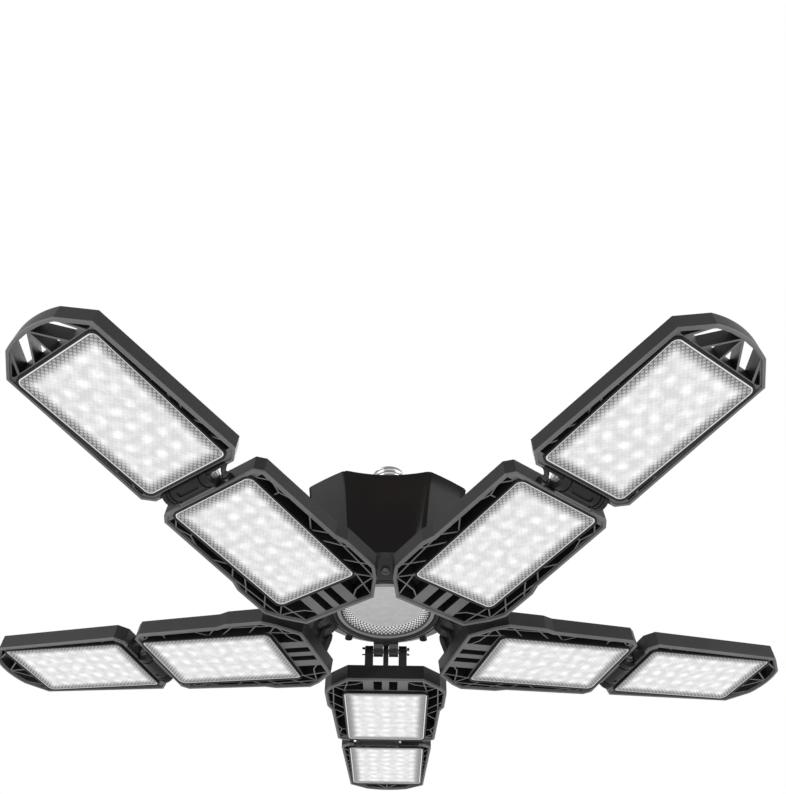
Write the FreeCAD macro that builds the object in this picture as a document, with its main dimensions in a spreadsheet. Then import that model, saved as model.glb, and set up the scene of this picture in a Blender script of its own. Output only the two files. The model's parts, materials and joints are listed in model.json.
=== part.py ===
import FreeCAD, Part
import Sketcher
import math
import os

# Folding ceiling light: a five-lobed hub on a medium screw base, a round light
# in the middle of its underside, and five arms of two hinged lamp panels each.
# Frame: origin on the screw base's axis where its shell meets the collar, +Z up
# along that axis. Every arm is drawn once in an arm frame: x outward along the
# arm, y across it, z square to the panels, and the origin on the arm line under
# the root hinge. The arm frame is tilted up by arm_tilt and turned about +Z.

V = FreeCAD.Vector
doc = FreeCAD.newDocument("folding_light")

# ---------------------------------------------------------------- dimensions
SIZES = [
    ("plane_drop", 117.0),        # collar plane down to the arm line
    ("arm_reach", 48.4),          # hub axis to the arm frame's origin
    ("arm_tilt", 6.0),            # degrees above level at rest
    ("root_x", 2.7),              # root hinge axis in the arm frame
    ("root_z", 10.1),
    ("root_knuckle_radius", 4.0),
    ("root_pin_radius", 1.6),
    ("outer_x", 136.5),           # outer hinge axis in the arm frame
    ("outer_z", -9.0),
    ("barrel_radius", 6.0),
    ("outer_pin_radius", 2.0),
    ("pin_clearance", 0.05),
    ("joint_gap", 0.35),          # between faces that move past each other
    ("panel_depth", 13.0),        # rim to back
    ("back_level", 1.4),          # back of the panels below the arm line
    ("back_plate", 2.0),
    ("foot_depth", 1.0),          # walls and ribs end this far below the back
    ("rib_recess", 1.4),          # rib tops below the rim
    ("rib_width", 0.9),
    ("wall", 1.8),
    ("lens_half_width", 31.2),
    ("lens_corner", 4.0),
    ("lens_thickness", 2.2),
    ("lens_gap", 0.15),
    ("frame_wall", 1.3),          # raised frame round each lens
    ("frame_proud", 0.6),         # frame edge beyond the rim
    ("inner_lens_start", 25.3),
    ("inner_lens_end", 125.9),
    ("inner_end", 128.8),
    ("outer_start", 139.9),
    ("outer_lens_start", 145.7),
    ("outer_lens_end", 246.8),
    ("board_thickness", 1.6),
    ("chip_height", 0.7),
    ("fin_height", 4.0),
    ("cable_radius", 1.6),
    ("hub_top", 84.6),            # hub levels are above the arm line
    ("hub_skirt_top", 23.0),
    ("neck_radius", 19.5),
    ("neck_top", 114.0),
    ("hub_wall", 2.6),
    ("lobe_apothem_top", 75.0),
    ("lobe_half_width_top", 16.3),
    ("lobe_apothem_low", 66.0),
    ("lobe_half_width_low", 15.0),
    ("recess_depth", 5.5),
    ("centre_lens_radius", 34.8),
    ("centre_lens_level", 13.2),
    ("bezel_radius", 39.5),
    ("shell_radius", 13.0),       # medium screw base, 26 mm over the thread
    ("shell_height", 24.0),
    ("thread_pitch", 3.63),
    ("thread_depth", 0.8),
]
sheet = doc.addObject("Spreadsheet::Sheet", "sizes")
for row, (alias, value) in enumerate(SIZES, start=1):
    sheet.set("A%d" % row, alias)
    sheet.set("B%d" % row, str(value))
    sheet.setAlias("B%d" % row, alias)
doc.recompute()
D = {alias: float(sheet.get(alias)) for alias, value in SIZES}

DROP = D["plane_drop"]
RIM = -D["panel_depth"]
TRAY_FLOOR = -D["back_level"] - D["back_plate"]
BACK = -D["back_level"]
LEDGE = RIM + D["lens_thickness"]
FOOT = BACK - D["foot_depth"]


# ---------------------------------------------------------------- drawing aids
def new_body(label):
    body = doc.addObject("PartDesign::Body", label)
    body.Label = label
    return body


def new_sketch(body, role, offset=0.0, offset_text=None):
    """A sketch on one of the body's origin planes, moved along the plane's normal."""
    made = body.newObject("Sketcher::SketchObject", body.Label + "_sketch")
    base = next(f for f in body.Origin.OriginFeatures if f.Role == role)
    made.AttachmentSupport = [(base, "")]
    made.MapMode = "FlatFace"
    made.AttachmentOffset = FreeCAD.Placement(V(0, 0, offset), FreeCAD.Rotation())
    if offset_text:
        made.setExpression("AttachmentOffset.Base.z", offset_text)
    return made


def draw_loop(sketch, points):
    """A closed loop through (x, y) points; a third value rounds that corner."""
    count = len(points)
    ends = []
    arcs = []
    for i in range(count):
        here = V(points[i][0], points[i][1], 0)
        radius = points[i][2] if len(points[i]) > 2 else 0.0
        if radius <= 0:
            ends.append((here, here))
            arcs.append(None)
            continue
        before = V(points[i - 1][0], points[i - 1][1], 0) - here
        after_point = points[(i + 1) % count]
        after = V(after_point[0], after_point[1], 0) - here
        before.normalize()
        after.normalize()
        half = before.getAngle(after) / 2
        reach = radius / math.tan(half)
        start = here + before * reach
        end = here + after * reach
        middle_dir = before + after
        middle_dir.normalize()
        middle = here + middle_dir * (radius / math.sin(half) - radius)
        ends.append((start, end))
        arcs.append(Part.Arc(start, middle, end))
    geometry = []
    for i in range(count):
        if arcs[i]:
            geometry.append(arcs[i])
        start = ends[i][1]
        end = ends[(i + 1) % count][0]
        if (end - start).Length > 1e-6:
            geometry.append(Part.LineSegment(start, end))
    sketch.addGeometry(geometry, False)


def draw_circle(sketch, x, y, radius, text=None):
    index = sketch.addGeometry(Part.Circle(V(x, y, 0), V(0, 0, 1), radius), False)
    constraint = sketch.addConstraint(Sketcher.Constraint("Radius", index, radius))
    if text:
        sketch.setExpression("Constraints[%d]" % constraint, text)


def pad(body, sketch, length, text=None, reverse=False):
    made = body.newObject("PartDesign::Pad", body.Label + "_pad")
    made.Profile = sketch
    made.Length = length
    made.Reversed = reverse
    made.Refine = False
    if text:
        made.setExpression("Length", text)
    return made


def pocket(body, sketch, length, text=None, reverse=False):
    made = body.newObject("PartDesign::Pocket", body.Label + "_pocket")
    made.Profile = sketch
    made.Length = length
    made.Reversed = reverse
    made.Refine = False
    if text:
        made.setExpression("Length", text)
    return made


def turn(body, loop):
    """A full turn about Z of a loop of (radius, height) points."""
    sketch = new_sketch(body, "XZ_Plane")
    draw_loop(sketch, loop)
    made = body.newObject("PartDesign::Revolution", body.Label + "_turn")
    made.Profile = sketch
    made.ReferenceAxis = (sketch, ["V_Axis"])
    made.Angle = 360.0
    return made


def rectangle(x0, x1, y0, y1, radius=0.0):
    return [(x0, y0, radius), (x1, y0, radius), (x1, y1, radius), (x0, y1, radius)]


def shrink(points, distance):
    """A convex loop moved inward by distance; None if nothing is left."""
    area = 0.0
    count = len(points)
    for i in range(count):
        x0, y0 = points[i][:2]
        x1, y1 = points[(i + 1) % count][:2]
        area += x0 * y1 - x1 * y0
    if area < 0:
        points = points[::-1]
    lines = []
    for i in range(count):
        x0, y0 = points[i][:2]
        x1, y1 = points[(i + 1) % count][:2]
        length = math.hypot(x1 - x0, y1 - y0)
        nx = -(y1 - y0) / length
        ny = (x1 - x0) / length
        lines.append((x0 + nx * distance, y0 + ny * distance, x1 - x0, y1 - y0))
    result = []
    for i in range(count):
        ax, ay, adx, ady = lines[i - 1]
        bx, by, bdx, bdy = lines[i]
        cross = adx * bdy - ady * bdx
        step = ((bx - ax) * bdy - (by - ay) * bdx) / cross
        result.append((ax + adx * step, ay + ady * step))
    for i in range(count):
        x0, y0 = result[i]
        x1, y1 = result[(i + 1) % count]
        if (x1 - x0) * lines[i][2] + (y1 - y0) * lines[i][3] < 0.6 * math.hypot(lines[i][2], lines[i][3]):
            return None
    return result


def arm_placement(angle):
    """The arm frame of the arm that points at angle degrees about +Z from +X."""
    tilt = FreeCAD.Placement(V(D["arm_reach"], 0, -DROP), FreeCAD.Rotation(V(0, -1, 0), D["arm_tilt"]))
    swing = FreeCAD.Placement(V(0, 0, 0), FreeCAD.Rotation(V(0, 0, 1), angle))
    return swing.multiply(tilt)


def place_in_arm(feature, angle):
    feature.Placement = arm_placement(angle)
    return feature


# ---------------------------------------------------------------- panel outlines
def mirrored(half):
    """A loop from its y >= 0 half, given from the root end to the outer end."""
    return [(x, y) + tuple(rest) for x, y, *rest in half] + \
           [(x, -y) + tuple(rest) for x, y, *rest in reversed(half) if y > 1e-6]


INNER_HALF = [(1.0, 28.0), (15.0, 40.5), (24.0, 45.8), (52.0, 45.2), (60.0, 42.4),
              (124.0, 40.4), (D["inner_end"], 36.0)]
INNER_HALF_INSIDE = [(3.0, 27.2), (16.2, 39.0), (24.6, 43.9), (51.2, 43.4), (59.0, 40.6),
                     (123.2, 38.6), (126.6, 35.0)]
OUTER_HALF = [(D["outer_start"], 31.5), (146.0, 38.2), (250.6, 34.2), (263.6, 18.8)]
OUTER_HALF_INSIDE = [(141.6, 31.2), (146.6, 36.5), (249.8, 32.6), (261.9, 18.0)]
TIP_X = 266.9
TIP_INSIDE_X = 265.2


def draw_tip_loop(sketch, half, tip):
    """The outer panel's loop: straight sides, slanted corners and an arched end."""
    upper = [V(x, y, 0) for x, y in half]
    lower = [V(x, -y, 0) for x, y in half]
    geometry = [Part.Arc(upper[-1], V(tip, 0, 0), lower[-1])]
    for i in range(len(half) - 1):
        geometry.append(Part.LineSegment(upper[i], upper[i + 1]))
        geometry.append(Part.LineSegment(lower[i], lower[i + 1]))
    geometry.append(Part.LineSegment(upper[0], lower[0]))
    sketch.addGeometry(geometry, False)


def width_at(half, x):
    for (x0, y0), (x1, y1) in zip(half, half[1:]):
        if x0 <= x <= x1:
            return y0 + (y1 - y0) * (x - x0) / (x1 - x0)
    return half[-1][1]


def on_line(start, end, x):
    """The point at x on the straight line through two points."""
    return (x, start[1] + (end[1] - start[1]) * (x - start[0]) / (end[0] - start[0]))


def both_sides(cells):
    return cells + [[(x, -y) for x, y in cell] for cell in cells]


def root_cells():
    """Openings of the inner panel's root margin: slots by the hinge lugs, and at each corner an
    arched rib from the slots to the side that crosses the rib from the lens frame's corner."""
    edge = D["inner_lens_start"] - D["frame_wall"]
    front, side_corner = INNER_HALF_INSIDE[:2]
    frame_corner = (edge, 31.0)
    crossing = (14.2, 29.2)
    arch_foot, arch_middle = (7.4, 16.2), (11.9, 21.6)
    cells = [[(4.2, 2.6), (edge - 1.2, 2.6), (edge - 1.2, 8.9), (4.2, 8.9)]]
    for cell in ([front, (3.0, 16.2), arch_foot, arch_middle, crossing],
                 [arch_foot, (edge - 0.8, 16.2), frame_corner, crossing, arch_middle],
                 [crossing, frame_corner, side_corner], [front, crossing, side_corner]):
        cells.append(shrink(cell, D["rib_width"] / 2))
    return cells


def frame_foot(x):
    """The point at x where a rib meets the side of a lens frame."""
    return (x, D["lens_half_width"] + D["frame_wall"] - D["rib_width"] / 2)


def inner_cells():
    """Openings of the inner panel's margins. Down each side one long rib carries the narrow
    part's wall on to the root corner, and short ribs slant from the lens frame to the wall."""
    def wall(x):
        return (x, width_at(INNER_HALF_INSIDE, x))

    corner, shoulder, bend, notch = INNER_HALF_INSIDE[1:5]
    frame_corner = (D["inner_lens_start"] - D["frame_wall"], 31.0)
    near = on_line(corner, notch, 31.5)
    far = on_line(corner, notch, 49.5)
    knot = (106.0, 36.2)
    cells = root_cells()
    for cell in ([frame_corner, frame_foot(39.5), near, corner], [corner, near, wall(27.0), shoulder],
                 [frame_foot(39.5), frame_foot(60.0), far, near], [near, far, wall(45.5), wall(27.0)],
                 [far, notch, bend, wall(45.5)],
                 [frame_foot(60.0), frame_foot(71.0), wall(62.5), notch, far],
                 [frame_foot(71.0), wall(82.0), wall(62.5)],
                 [frame_foot(71.0), frame_foot(106.0), knot, wall(97.5), wall(82.0)],
                 [wall(97.5), knot, wall(116.0)],
                 [frame_foot(106.0), frame_foot(123.0), wall(116.0), knot],
                 [frame_foot(123.0), wall(123.0), wall(116.0)]):
        cells.append(shrink(cell, D["rib_width"] / 2))
    return both_sides(cells)


def outer_side_cells():
    """Openings of the outer panel's sides, between ribs given by where they meet the lens frame
    and the wall."""
    ribs = [(147.5, 147.5), (160.4, 153.9), (174.7, 168.2), (183.8, 188.5), (192.9, 197.4),
            (207.7, 206.4), (215.0, 218.6), (224.0, 224.0)]
    cells = []
    for (foot, top), (next_foot, next_top) in zip(ribs, ribs[1:]):
        cell = [frame_foot(foot), frame_foot(next_foot),
                (next_top, width_at(OUTER_HALF_INSIDE, next_top)), (top, width_at(OUTER_HALF_INSIDE, top))]
        cells.append(shrink(cell, D["rib_width"] / 2))
    return both_sides(cells)


def tip_cells():
    """Openings of the outer panel's arched end, clear through it: a middle rib and two
    slanted ribs meet at the top of the arch, and one more runs to each of its corners."""
    base = D["outer_lens_end"] + D["frame_wall"] + 0.3
    fan = (TIP_INSIDE_X - 0.2, 0.0)
    corner_x, corner_y = OUTER_HALF_INSIDE[-1]
    rise = TIP_INSIDE_X - corner_x
    shoulder = (TIP_INSIDE_X - 0.1 - rise / 4, corner_y / 2)
    beside_middle = [(base, 0.0), (base, 14.2), fan]
    under_arch = [(base, 14.2), (base, 26.8), (corner_x, corner_y), shoulder, fan]
    slanted = [(base, 27.4), (base - 0.2, 30.2), (249.8, 32.2), (corner_x, corner_y)]
    return both_sides([shrink(cell, D["rib_width"] * 0.6) for cell in (beside_middle, under_arch, slanted)])


# ---------------------------------------------------------------- panel pieces
def add_tray(body, lens_start, lens_end):
    """Lens frame and ledge ring, standing on the back plate."""
    half = D["lens_half_width"] + D["lens_gap"]
    x0 = lens_start - D["lens_gap"]
    x1 = lens_end + D["lens_gap"]
    edge = D["frame_wall"] - D["lens_gap"]
    corner = D["lens_corner"]
    frame = new_sketch(body, "XY_Plane", RIM - D["frame_proud"], "-sizes.panel_depth - sizes.frame_proud")
    draw_loop(frame, rectangle(x0 - edge, x1 + edge, -half - edge, half + edge, corner + edge))
    draw_loop(frame, rectangle(x0, x1, -half, half, corner))
    pad(body, frame, FOOT - RIM + D["frame_proud"],
        "sizes.panel_depth + sizes.frame_proud - sizes.back_level - sizes.foot_depth")
    ledge = new_sketch(body, "XY_Plane", LEDGE, "-sizes.panel_depth + sizes.lens_thickness")
    draw_loop(ledge, rectangle(x0 - 0.5, x1 + 0.5, -half - 0.5, half + 0.5, corner))
    draw_loop(ledge, rectangle(x0 + 1.5, x1 - 1.5, -half + 1.5, half - 1.5, corner))
    pad(body, ledge, FOOT - LEDGE,
        "sizes.panel_depth - sizes.lens_thickness - sizes.back_level - sizes.foot_depth")


def add_web(body, sketch):
    """The ribbed margin, from the rib tops into the back plate."""
    return pad(body, sketch, FOOT - RIM - D["rib_recess"],
               "sizes.panel_depth - sizes.rib_recess - sizes.back_level - sizes.foot_depth")


def add_knuckle(body, x, z, radius, y0, y1, leg):
    """A round knuckle from y0 to y1 with a leg that reaches into the panel."""
    low, high = min(y0, y1), max(y0, y1)
    barrel = new_sketch(body, "XZ_Plane", -high)
    draw_circle(barrel, x, z, radius)
    pad(body, barrel, high - low)
    web = new_sketch(body, "XZ_Plane", -high)
    draw_loop(web, leg)
    pad(body, web, high - low)


def bore(body, x, z, radius):
    hole = new_sketch(body, "XZ_Plane", 60.0)
    draw_circle(hole, x, z, radius)
    return pocket(body, hole, 120.0)


def make_inner_housing(label, angle, hand):
    body = new_body(label)
    plate = new_sketch(body, "XY_Plane", TRAY_FLOOR, "-sizes.back_level - sizes.back_plate")
    draw_loop(plate, mirrored(INNER_HALF))
    pad(body, plate, D["back_plate"], "sizes.back_plate")

    rim = new_sketch(body, "XY_Plane", RIM, "-sizes.panel_depth")
    draw_loop(rim, mirrored(INNER_HALF))
    draw_loop(rim, mirrored(INNER_HALF_INSIDE))
    pad(body, rim, 3.0)
    add_tray(body, D["inner_lens_start"], D["inner_lens_end"])

    fins = new_sketch(body, "XY_Plane", BACK - 0.5)
    for y in (-24.0, -16.0, -8.0, 0.0, 8.0, 16.0, 24.0):
        draw_loop(fins, rectangle(34.0, 96.0, y - 0.9, y + 0.9))
    pad(body, fins, D["fin_height"] + 0.5, "sizes.fin_height + 0.5")
    hump = new_sketch(body, "XZ_Plane", -36.0)
    draw_loop(hump, [(99.0, FOOT), (99.0, BACK), (103.0, BACK + 2.8), (119.0, BACK + 2.8),
                     (127.0, BACK - 0.6)])
    pad(body, hump, 72.0)

    x, z = D["root_x"], D["root_z"]
    radius = D["root_knuckle_radius"]
    leg = [(x - radius, z), (x + radius, z), (x + radius + 2.5, FOOT), (x - 1.7, FOOT),
           (x - radius, z - 3.0)]
    for y0, y1 in ((-1.9, 1.9), (9.5, 15.5), (-15.5, -9.5)):
        add_knuckle(body, x, z, radius, y0, y1, leg)
    bore(body, x, z, D["root_pin_radius"] + D["pin_clearance"])

    x, z = D["outer_x"], D["outer_z"]
    radius = D["barrel_radius"]
    leg = [(x, z + radius), (D["inner_end"] - 1.5, z + radius + 0.6),
           (D["inner_end"] - 1.5, RIM + 0.4), (x - 3.0, RIM + 0.4), (x, z)]
    add_knuckle(body, x, z, radius, -7.0 * hand, 21.6 * hand, leg)
    for low in (-5.2, 18.4):
        ring = new_sketch(body, "XZ_Plane", -max(low * hand, (low + 1.4) * hand))
        draw_circle(ring, x, z, radius + 1.0)
        draw_circle(ring, x, z, radius - 0.7)
        pocket(body, ring, 1.4, reverse=True)
    recess = new_sketch(body, "XY_Plane", z - radius - 1.0)
    draw_loop(recess, rectangle(x - 1.0, x + 6.5, *sorted((-0.8 * hand, 14.6 * hand)), 1.2))
    pocket(body, recess, 2.0, reverse=True)
    bore(body, x, z, D["outer_pin_radius"] + D["pin_clearance"])

    gland = new_sketch(body, "YZ_Plane", D["inner_end"] - 1.0)
    draw_circle(gland, -16.0 * hand, -8.4, 3.2)
    pad(body, gland, 3.4)

    web = new_sketch(body, "XY_Plane", RIM + D["rib_recess"], "-sizes.panel_depth + sizes.rib_recess")
    draw_loop(web, mirrored(INNER_HALF))
    half = D["lens_half_width"] + 0.6
    draw_loop(web, rectangle(D["inner_lens_start"] - 0.6, D["inner_lens_end"] + 0.6, -half, half, 3.4))
    for cell in inner_cells():
        draw_loop(web, cell)
    last = add_web(body, web)
    last.Refine = True
    return place_in_arm(body, angle)


def make_outer_housing(label, angle, hand):
    body = new_body(label)
    plate = new_sketch(body, "XY_Plane", TRAY_FLOOR, "-sizes.back_level - sizes.back_plate")
    draw_tip_loop(plate, OUTER_HALF, TIP_X)
    for cell in tip_cells():
        draw_loop(plate, cell)
    pad(body, plate, D["back_plate"], "sizes.back_plate")

    rim = new_sketch(body, "XY_Plane", RIM, "-sizes.panel_depth")
    draw_tip_loop(rim, OUTER_HALF, TIP_X)
    draw_tip_loop(rim, OUTER_HALF_INSIDE, TIP_INSIDE_X)
    pad(body, rim, 3.0)
    add_tray(body, D["outer_lens_start"], D["outer_lens_end"])

    fins = new_sketch(body, "XY_Plane", BACK - 0.5)
    for y in (-24.0, -16.0, -8.0, 0.0, 8.0, 16.0, 24.0):
        draw_loop(fins, rectangle(158.0, 236.0, y - 0.9, y + 0.9))
    pad(body, fins, D["fin_height"] + 0.5, "sizes.fin_height + 0.5")

    x, z = D["outer_x"], D["outer_z"]
    radius = D["barrel_radius"] + 0.4
    leg = [(x, z + radius), (D["outer_start"] + 1.2, z + radius), (D["outer_start"] + 1.2, RIM + 0.5),
           (x, z - 2.0)]
    gap = D["joint_gap"]
    add_knuckle(body, x, z, radius, (-7.0 - gap - 3.2) * hand, (-7.0 - gap) * hand, leg)
    add_knuckle(body, x, z, radius, (21.6 + gap) * hand, (21.6 + gap + 3.2) * hand, leg)
    bore(body, x, z, D["outer_pin_radius"] + D["pin_clearance"])

    inlet = new_sketch(body, "YZ_Plane", D["outer_start"] - 0.2)
    draw_circle(inlet, -20.5 * hand, -3.6, 2.6)
    pad(body, inlet, 1.2)

    web = new_sketch(body, "XY_Plane", RIM + D["rib_recess"], "-sizes.panel_depth + sizes.rib_recess")
    draw_tip_loop(web, OUTER_HALF, TIP_X)
    half = D["lens_half_width"] + 0.6
    draw_loop(web, rectangle(D["outer_lens_start"] - 0.6, D["outer_lens_end"] + 0.6, -half, half, 3.4))
    for cell in outer_side_cells() + tip_cells():
        draw_loop(web, cell)
    add_web(body, web)
    hollow = new_sketch(body, "XZ_Plane", -max((-7.0 - gap) * hand, (21.6 + gap) * hand))
    draw_circle(hollow, x, z, D["barrel_radius"] + 0.45)
    last = pocket(body, hollow, 28.6 + 2 * gap, reverse=True)
    last.Refine = True
    return place_in_arm(body, angle)


def make_lens(label, angle, start, end):
    body = new_body(label)
    plate = new_sketch(body, "XY_Plane", RIM, "-sizes.panel_depth")
    half = D["lens_half_width"]
    draw_loop(plate, rectangle(start, end, -half, half, D["lens_corner"]))
    pad(body, plate, D["lens_thickness"], "sizes.lens_thickness")
    return place_in_arm(body, angle)


def make_board(label, angle, start, end):
    """A flat board with its rows of light chips, lying on the housing's back plate."""
    body = new_body(label)
    half = D["lens_half_width"] - 2.2
    plate = new_sketch(body, "XY_Plane", TRAY_FLOOR - D["board_thickness"],
                       "-sizes.back_level - sizes.back_plate - sizes.board_thickness")
    draw_loop(plate, rectangle(start + 2.2, end - 2.2, -half, half, 3.0))
    pad(body, plate, D["board_thickness"], "sizes.board_thickness")
    chips = new_sketch(body, "XY_Plane", TRAY_FLOOR - D["board_thickness"] - D["chip_height"],
                       "-sizes.back_level - sizes.back_plate - sizes.board_thickness - sizes.chip_height")
    rows, columns = 8, 5
    for i in range(rows):
        for j in range(columns):
            x = start + 9.0 + i * (end - start - 18.0) / (rows - 1)
            y = -24.0 + j * 12.0
            draw_loop(chips, rectangle(x - 1.75, x + 1.75, y - 1.4, y + 1.4))
    pad(body, chips, D["chip_height"] + 0.2, "sizes.chip_height + 0.2")
    return place_in_arm(body, angle)


def make_pin(label, angle, x, z, radius, y_head, y_end, head_radius):
    """A pan-head screw through a hinge, with its nut at the far end."""
    body = new_body(label)
    direction = 1.0 if y_end > y_head else -1.0
    shaft = new_sketch(body, "XZ_Plane", -max(y_head, y_end))
    draw_circle(shaft, x, z, radius)
    pad(body, shaft, abs(y_end - y_head))
    head = new_sketch(body, "XZ_Plane", -max(y_head, y_head - 1.8 * direction))
    draw_circle(head, x, z, head_radius)
    pad(body, head, 1.8)
    slot = new_sketch(body, "XZ_Plane", -max(y_head - 1.8 * direction, y_head - 0.9 * direction))
    draw_loop(slot, [(x + px, z + pz) for px, pz in cross_points(head_radius * 0.6, 0.45)])
    pocket(body, slot, 0.9, reverse=True)
    nut = new_sketch(body, "XZ_Plane", -max(y_end, y_end + 2.0 * direction))
    corners = [(x + head_radius * math.cos(math.radians(60 * i)),
                z + head_radius * math.sin(math.radians(60 * i))) for i in range(6)]
    draw_loop(nut, corners)
    pad(body, nut, 2.0)
    return place_in_arm(body, angle)


def cross_points(reach, half):
    return [(reach, -half), (reach, half), (half, half), (half, reach), (-half, reach), (-half, half),
            (-reach, half), (-reach, -half), (-half, -half), (-half, -reach), (half, -reach), (half, -half)]


def rounded_path(points):
    """Straight runs joined by tangent arcs, each as large as its two runs allow."""
    edges = []
    start = points[0]
    smallest = None
    for i in range(1, len(points) - 1):
        here = points[i]
        back = points[i - 1] - here
        ahead = points[i + 1] - here
        shorter = min(back.Length, ahead.Length)
        back.normalize()
        ahead.normalize()
        half = back.getAngle(ahead) / 2
        reach = 0.45 * shorter
        radius = reach * math.tan(half)
        smallest = radius if smallest is None else min(smallest, radius)
        entry = here + back * reach
        leave = here + ahead * reach
        centre_dir = back + ahead
        centre_dir.normalize()
        middle = here + centre_dir * (radius / math.sin(half) - radius)
        edges.append(Part.LineSegment(start, entry).toShape())
        edges.append(Part.Arc(entry, middle, leave).toShape())
        start = leave
    edges.append(Part.LineSegment(start, points[-1]).toShape())
    return Part.Wire(edges), smallest


def make_cable(label, angle, hand):
    """The short lead that crosses the outer hinge, from the gland to the outer panel."""
    gland_face = D["inner_end"] + 2.4
    cable_end = D["outer_start"] - 1.0
    points = [V(gland_face + 0.25, -16.0 * hand, -8.4), V(gland_face + 2.4, -16.1 * hand, -8.2),
              V(gland_face + 4.6, -17.8 * hand, -6.4), V(gland_face + 5.3, -19.6 * hand, -4.3),
              V(cable_end, -20.5 * hand, -3.6)]
    path, smallest = rounded_path(points)
    profile = Part.Wire(Part.makeCircle(D["cable_radius"], points[0], points[1] - points[0]))
    tube = path.makePipeShell([profile], True, False)
    expected = math.pi * D["cable_radius"] ** 2 * path.Length
    print(label, "length %.1f mm, least radius %.1f mm, volume ratio %.3f"
          % (path.Length, smallest, tube.Volume / expected))
    feature = doc.addObject("Part::Feature", label)
    feature.Label = label
    feature.Shape = tube
    return place_in_arm(feature, angle)


# ---------------------------------------------------------------- hub pieces
def lobed_wire(apothem, half_width, depth, level):
    """Five flat lobes that face the arms, with shallow curved recesses between."""
    corners = []
    for k in range(5):
        angle = math.radians(-126.0 + 72.0 * k)
        out = V(math.cos(angle), math.sin(angle), 0)
        across = V(-math.sin(angle), math.cos(angle), 0)
        corners.append((out * apothem - across * half_width, out * apothem + across * half_width))
    edges = []
    for k in range(5):
        first, second = corners[k]
        following = corners[(k + 1) % 5][0]
        middle = (second + following) * 0.5
        inward = middle * (1.0 - depth / middle.Length)
        lift = V(0, 0, level)
        edges.append(Part.LineSegment(first + lift, second + lift).toShape())
        edges.append(Part.Arc(second + lift, inward + lift, following + lift).toShape())
    return Part.Wire(edges)


def revolved(loop):
    points = [V(r, 0, z) for r, z in loop]
    points.append(points[0])
    return Part.Face(Part.makePolygon(points)).revolve(V(0, 0, 0), V(0, 0, 1), 360)


def hub_solid(inset):
    """The hub's outer form, or its hollow when inset is the wall thickness."""
    low = D["hub_skirt_top"] - DROP
    top = D["hub_top"] - DROP - (inset * 0.9)
    neck_low = 106.0 - DROP - inset
    neck_top = D["neck_top"] - DROP + (1.0 if inset else 0.0)
    bottom = lobed_wire(D["lobe_apothem_low"] - 3.3 - inset, D["lobe_half_width_low"] - inset * 0.4,
                        D["recess_depth"], low)
    upper = lobed_wire(D["lobe_apothem_top"] - inset, D["lobe_half_width_top"] - inset * 0.4,
                       D["recess_depth"], top)
    prism = Part.makeLoft([bottom, upper], True, True)
    column = Part.Face(upper).extrude(V(0, 0, neck_top - top + 1.0))
    bevel = revolved([(0, low), (57.0 - inset, low), (71.5 - inset, 41.0 - DROP), (82.0, 44.0 - DROP),
                      (82.0, top - 2.5), (D["lobe_apothem_top"] - 0.5 - inset, top),
                      (59.0, top + 0.6), (30.0, neck_low - 2.0), (D["neck_radius"] - inset, neck_low + 1.0),
                      (D["neck_radius"] - inset, neck_top), (0, neck_top)])
    return prism.fuse(column).removeSplitter().common(bevel)


def make_hub_housing(label):
    outer = hub_solid(0.0)
    hollow = hub_solid(D["hub_wall"])
    shape = outer.cut(hollow)
    feature = doc.addObject("Part::Feature", label)
    feature.Label = label
    feature.Shape = shape.removeSplitter()
    feature.Placement = FreeCAD.Placement()
    return feature


def make_hub_base(label):
    """The hub's lower casting: a conical skirt with five pairs of hinge tongues."""
    lift = -DROP
    skirt = revolved([(36.5, 15.2 + lift), (38.0, 12.6 + lift), (41.2, 12.6 + lift), (54.5, 20.0 + lift),
                      (57.0, 23.0 + lift), (52.5, 23.0 + lift), (50.0, 21.4 + lift), (36.5, 17.4 + lift)])
    plate = revolved([(0, 20.0 + lift), (45.0, 20.0 + lift), (45.0, 22.6 + lift), (0, 22.6 + lift)])
    shape = skirt.fuse(plate)
    for k in range(5):
        angle = -126.0 + 72.0 * k
        frame = arm_placement(angle)
        x, z = D["root_x"], D["root_z"]
        radius = D["root_knuckle_radius"]
        pieces = []
        for y0 in (-9.15, 2.25):
            barrel = Part.makeCylinder(radius, 6.9, V(x, y0, z), V(0, 1, 0))
            side = Part.Face(Part.makePolygon([V(x, y0, z + radius), V(x - 7.5, y0, z + 6.5),
                                               V(x - 10.5, y0, z + 4.5), V(x - 7.0, y0, z - 0.6),
                                               V(x, y0, z - radius), V(x, y0, z + radius)]))
            pieces.append(barrel.fuse(side.extrude(V(0, 6.9, 0))))
        stem = Part.makeBox(4.6, 18.3, 4.2, V(x - 9.6, -9.15, z + 1.8))
        pieces.append(stem)
        hole = Part.makeCylinder(D["root_pin_radius"] + D["pin_clearance"], 40, V(x, -20, z), V(0, 1, 0))
        tongue = pieces[0].fuse(pieces[1:]).cut(hole)
        tongue.Placement = frame
        shape = shape.fuse(tongue)
    for k in range(5):
        angle = math.radians(-90.0 + 72.0 * k)
        x, y = 47.0 * math.cos(angle), 47.0 * math.sin(angle)
        well = Part.makeCylinder(1.7, 12.0, V(x, y, 12.0 + lift))
        seat = Part.makeCylinder(3.1, 4.2, V(x, y, 11.0 + lift))
        shape = shape.cut(well).cut(seat)
    feature = doc.addObject("Part::Feature", label)
    feature.Label = label
    feature.Shape = shape.removeSplitter()
    feature.Placement = FreeCAD.Placement()
    return feature


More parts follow.
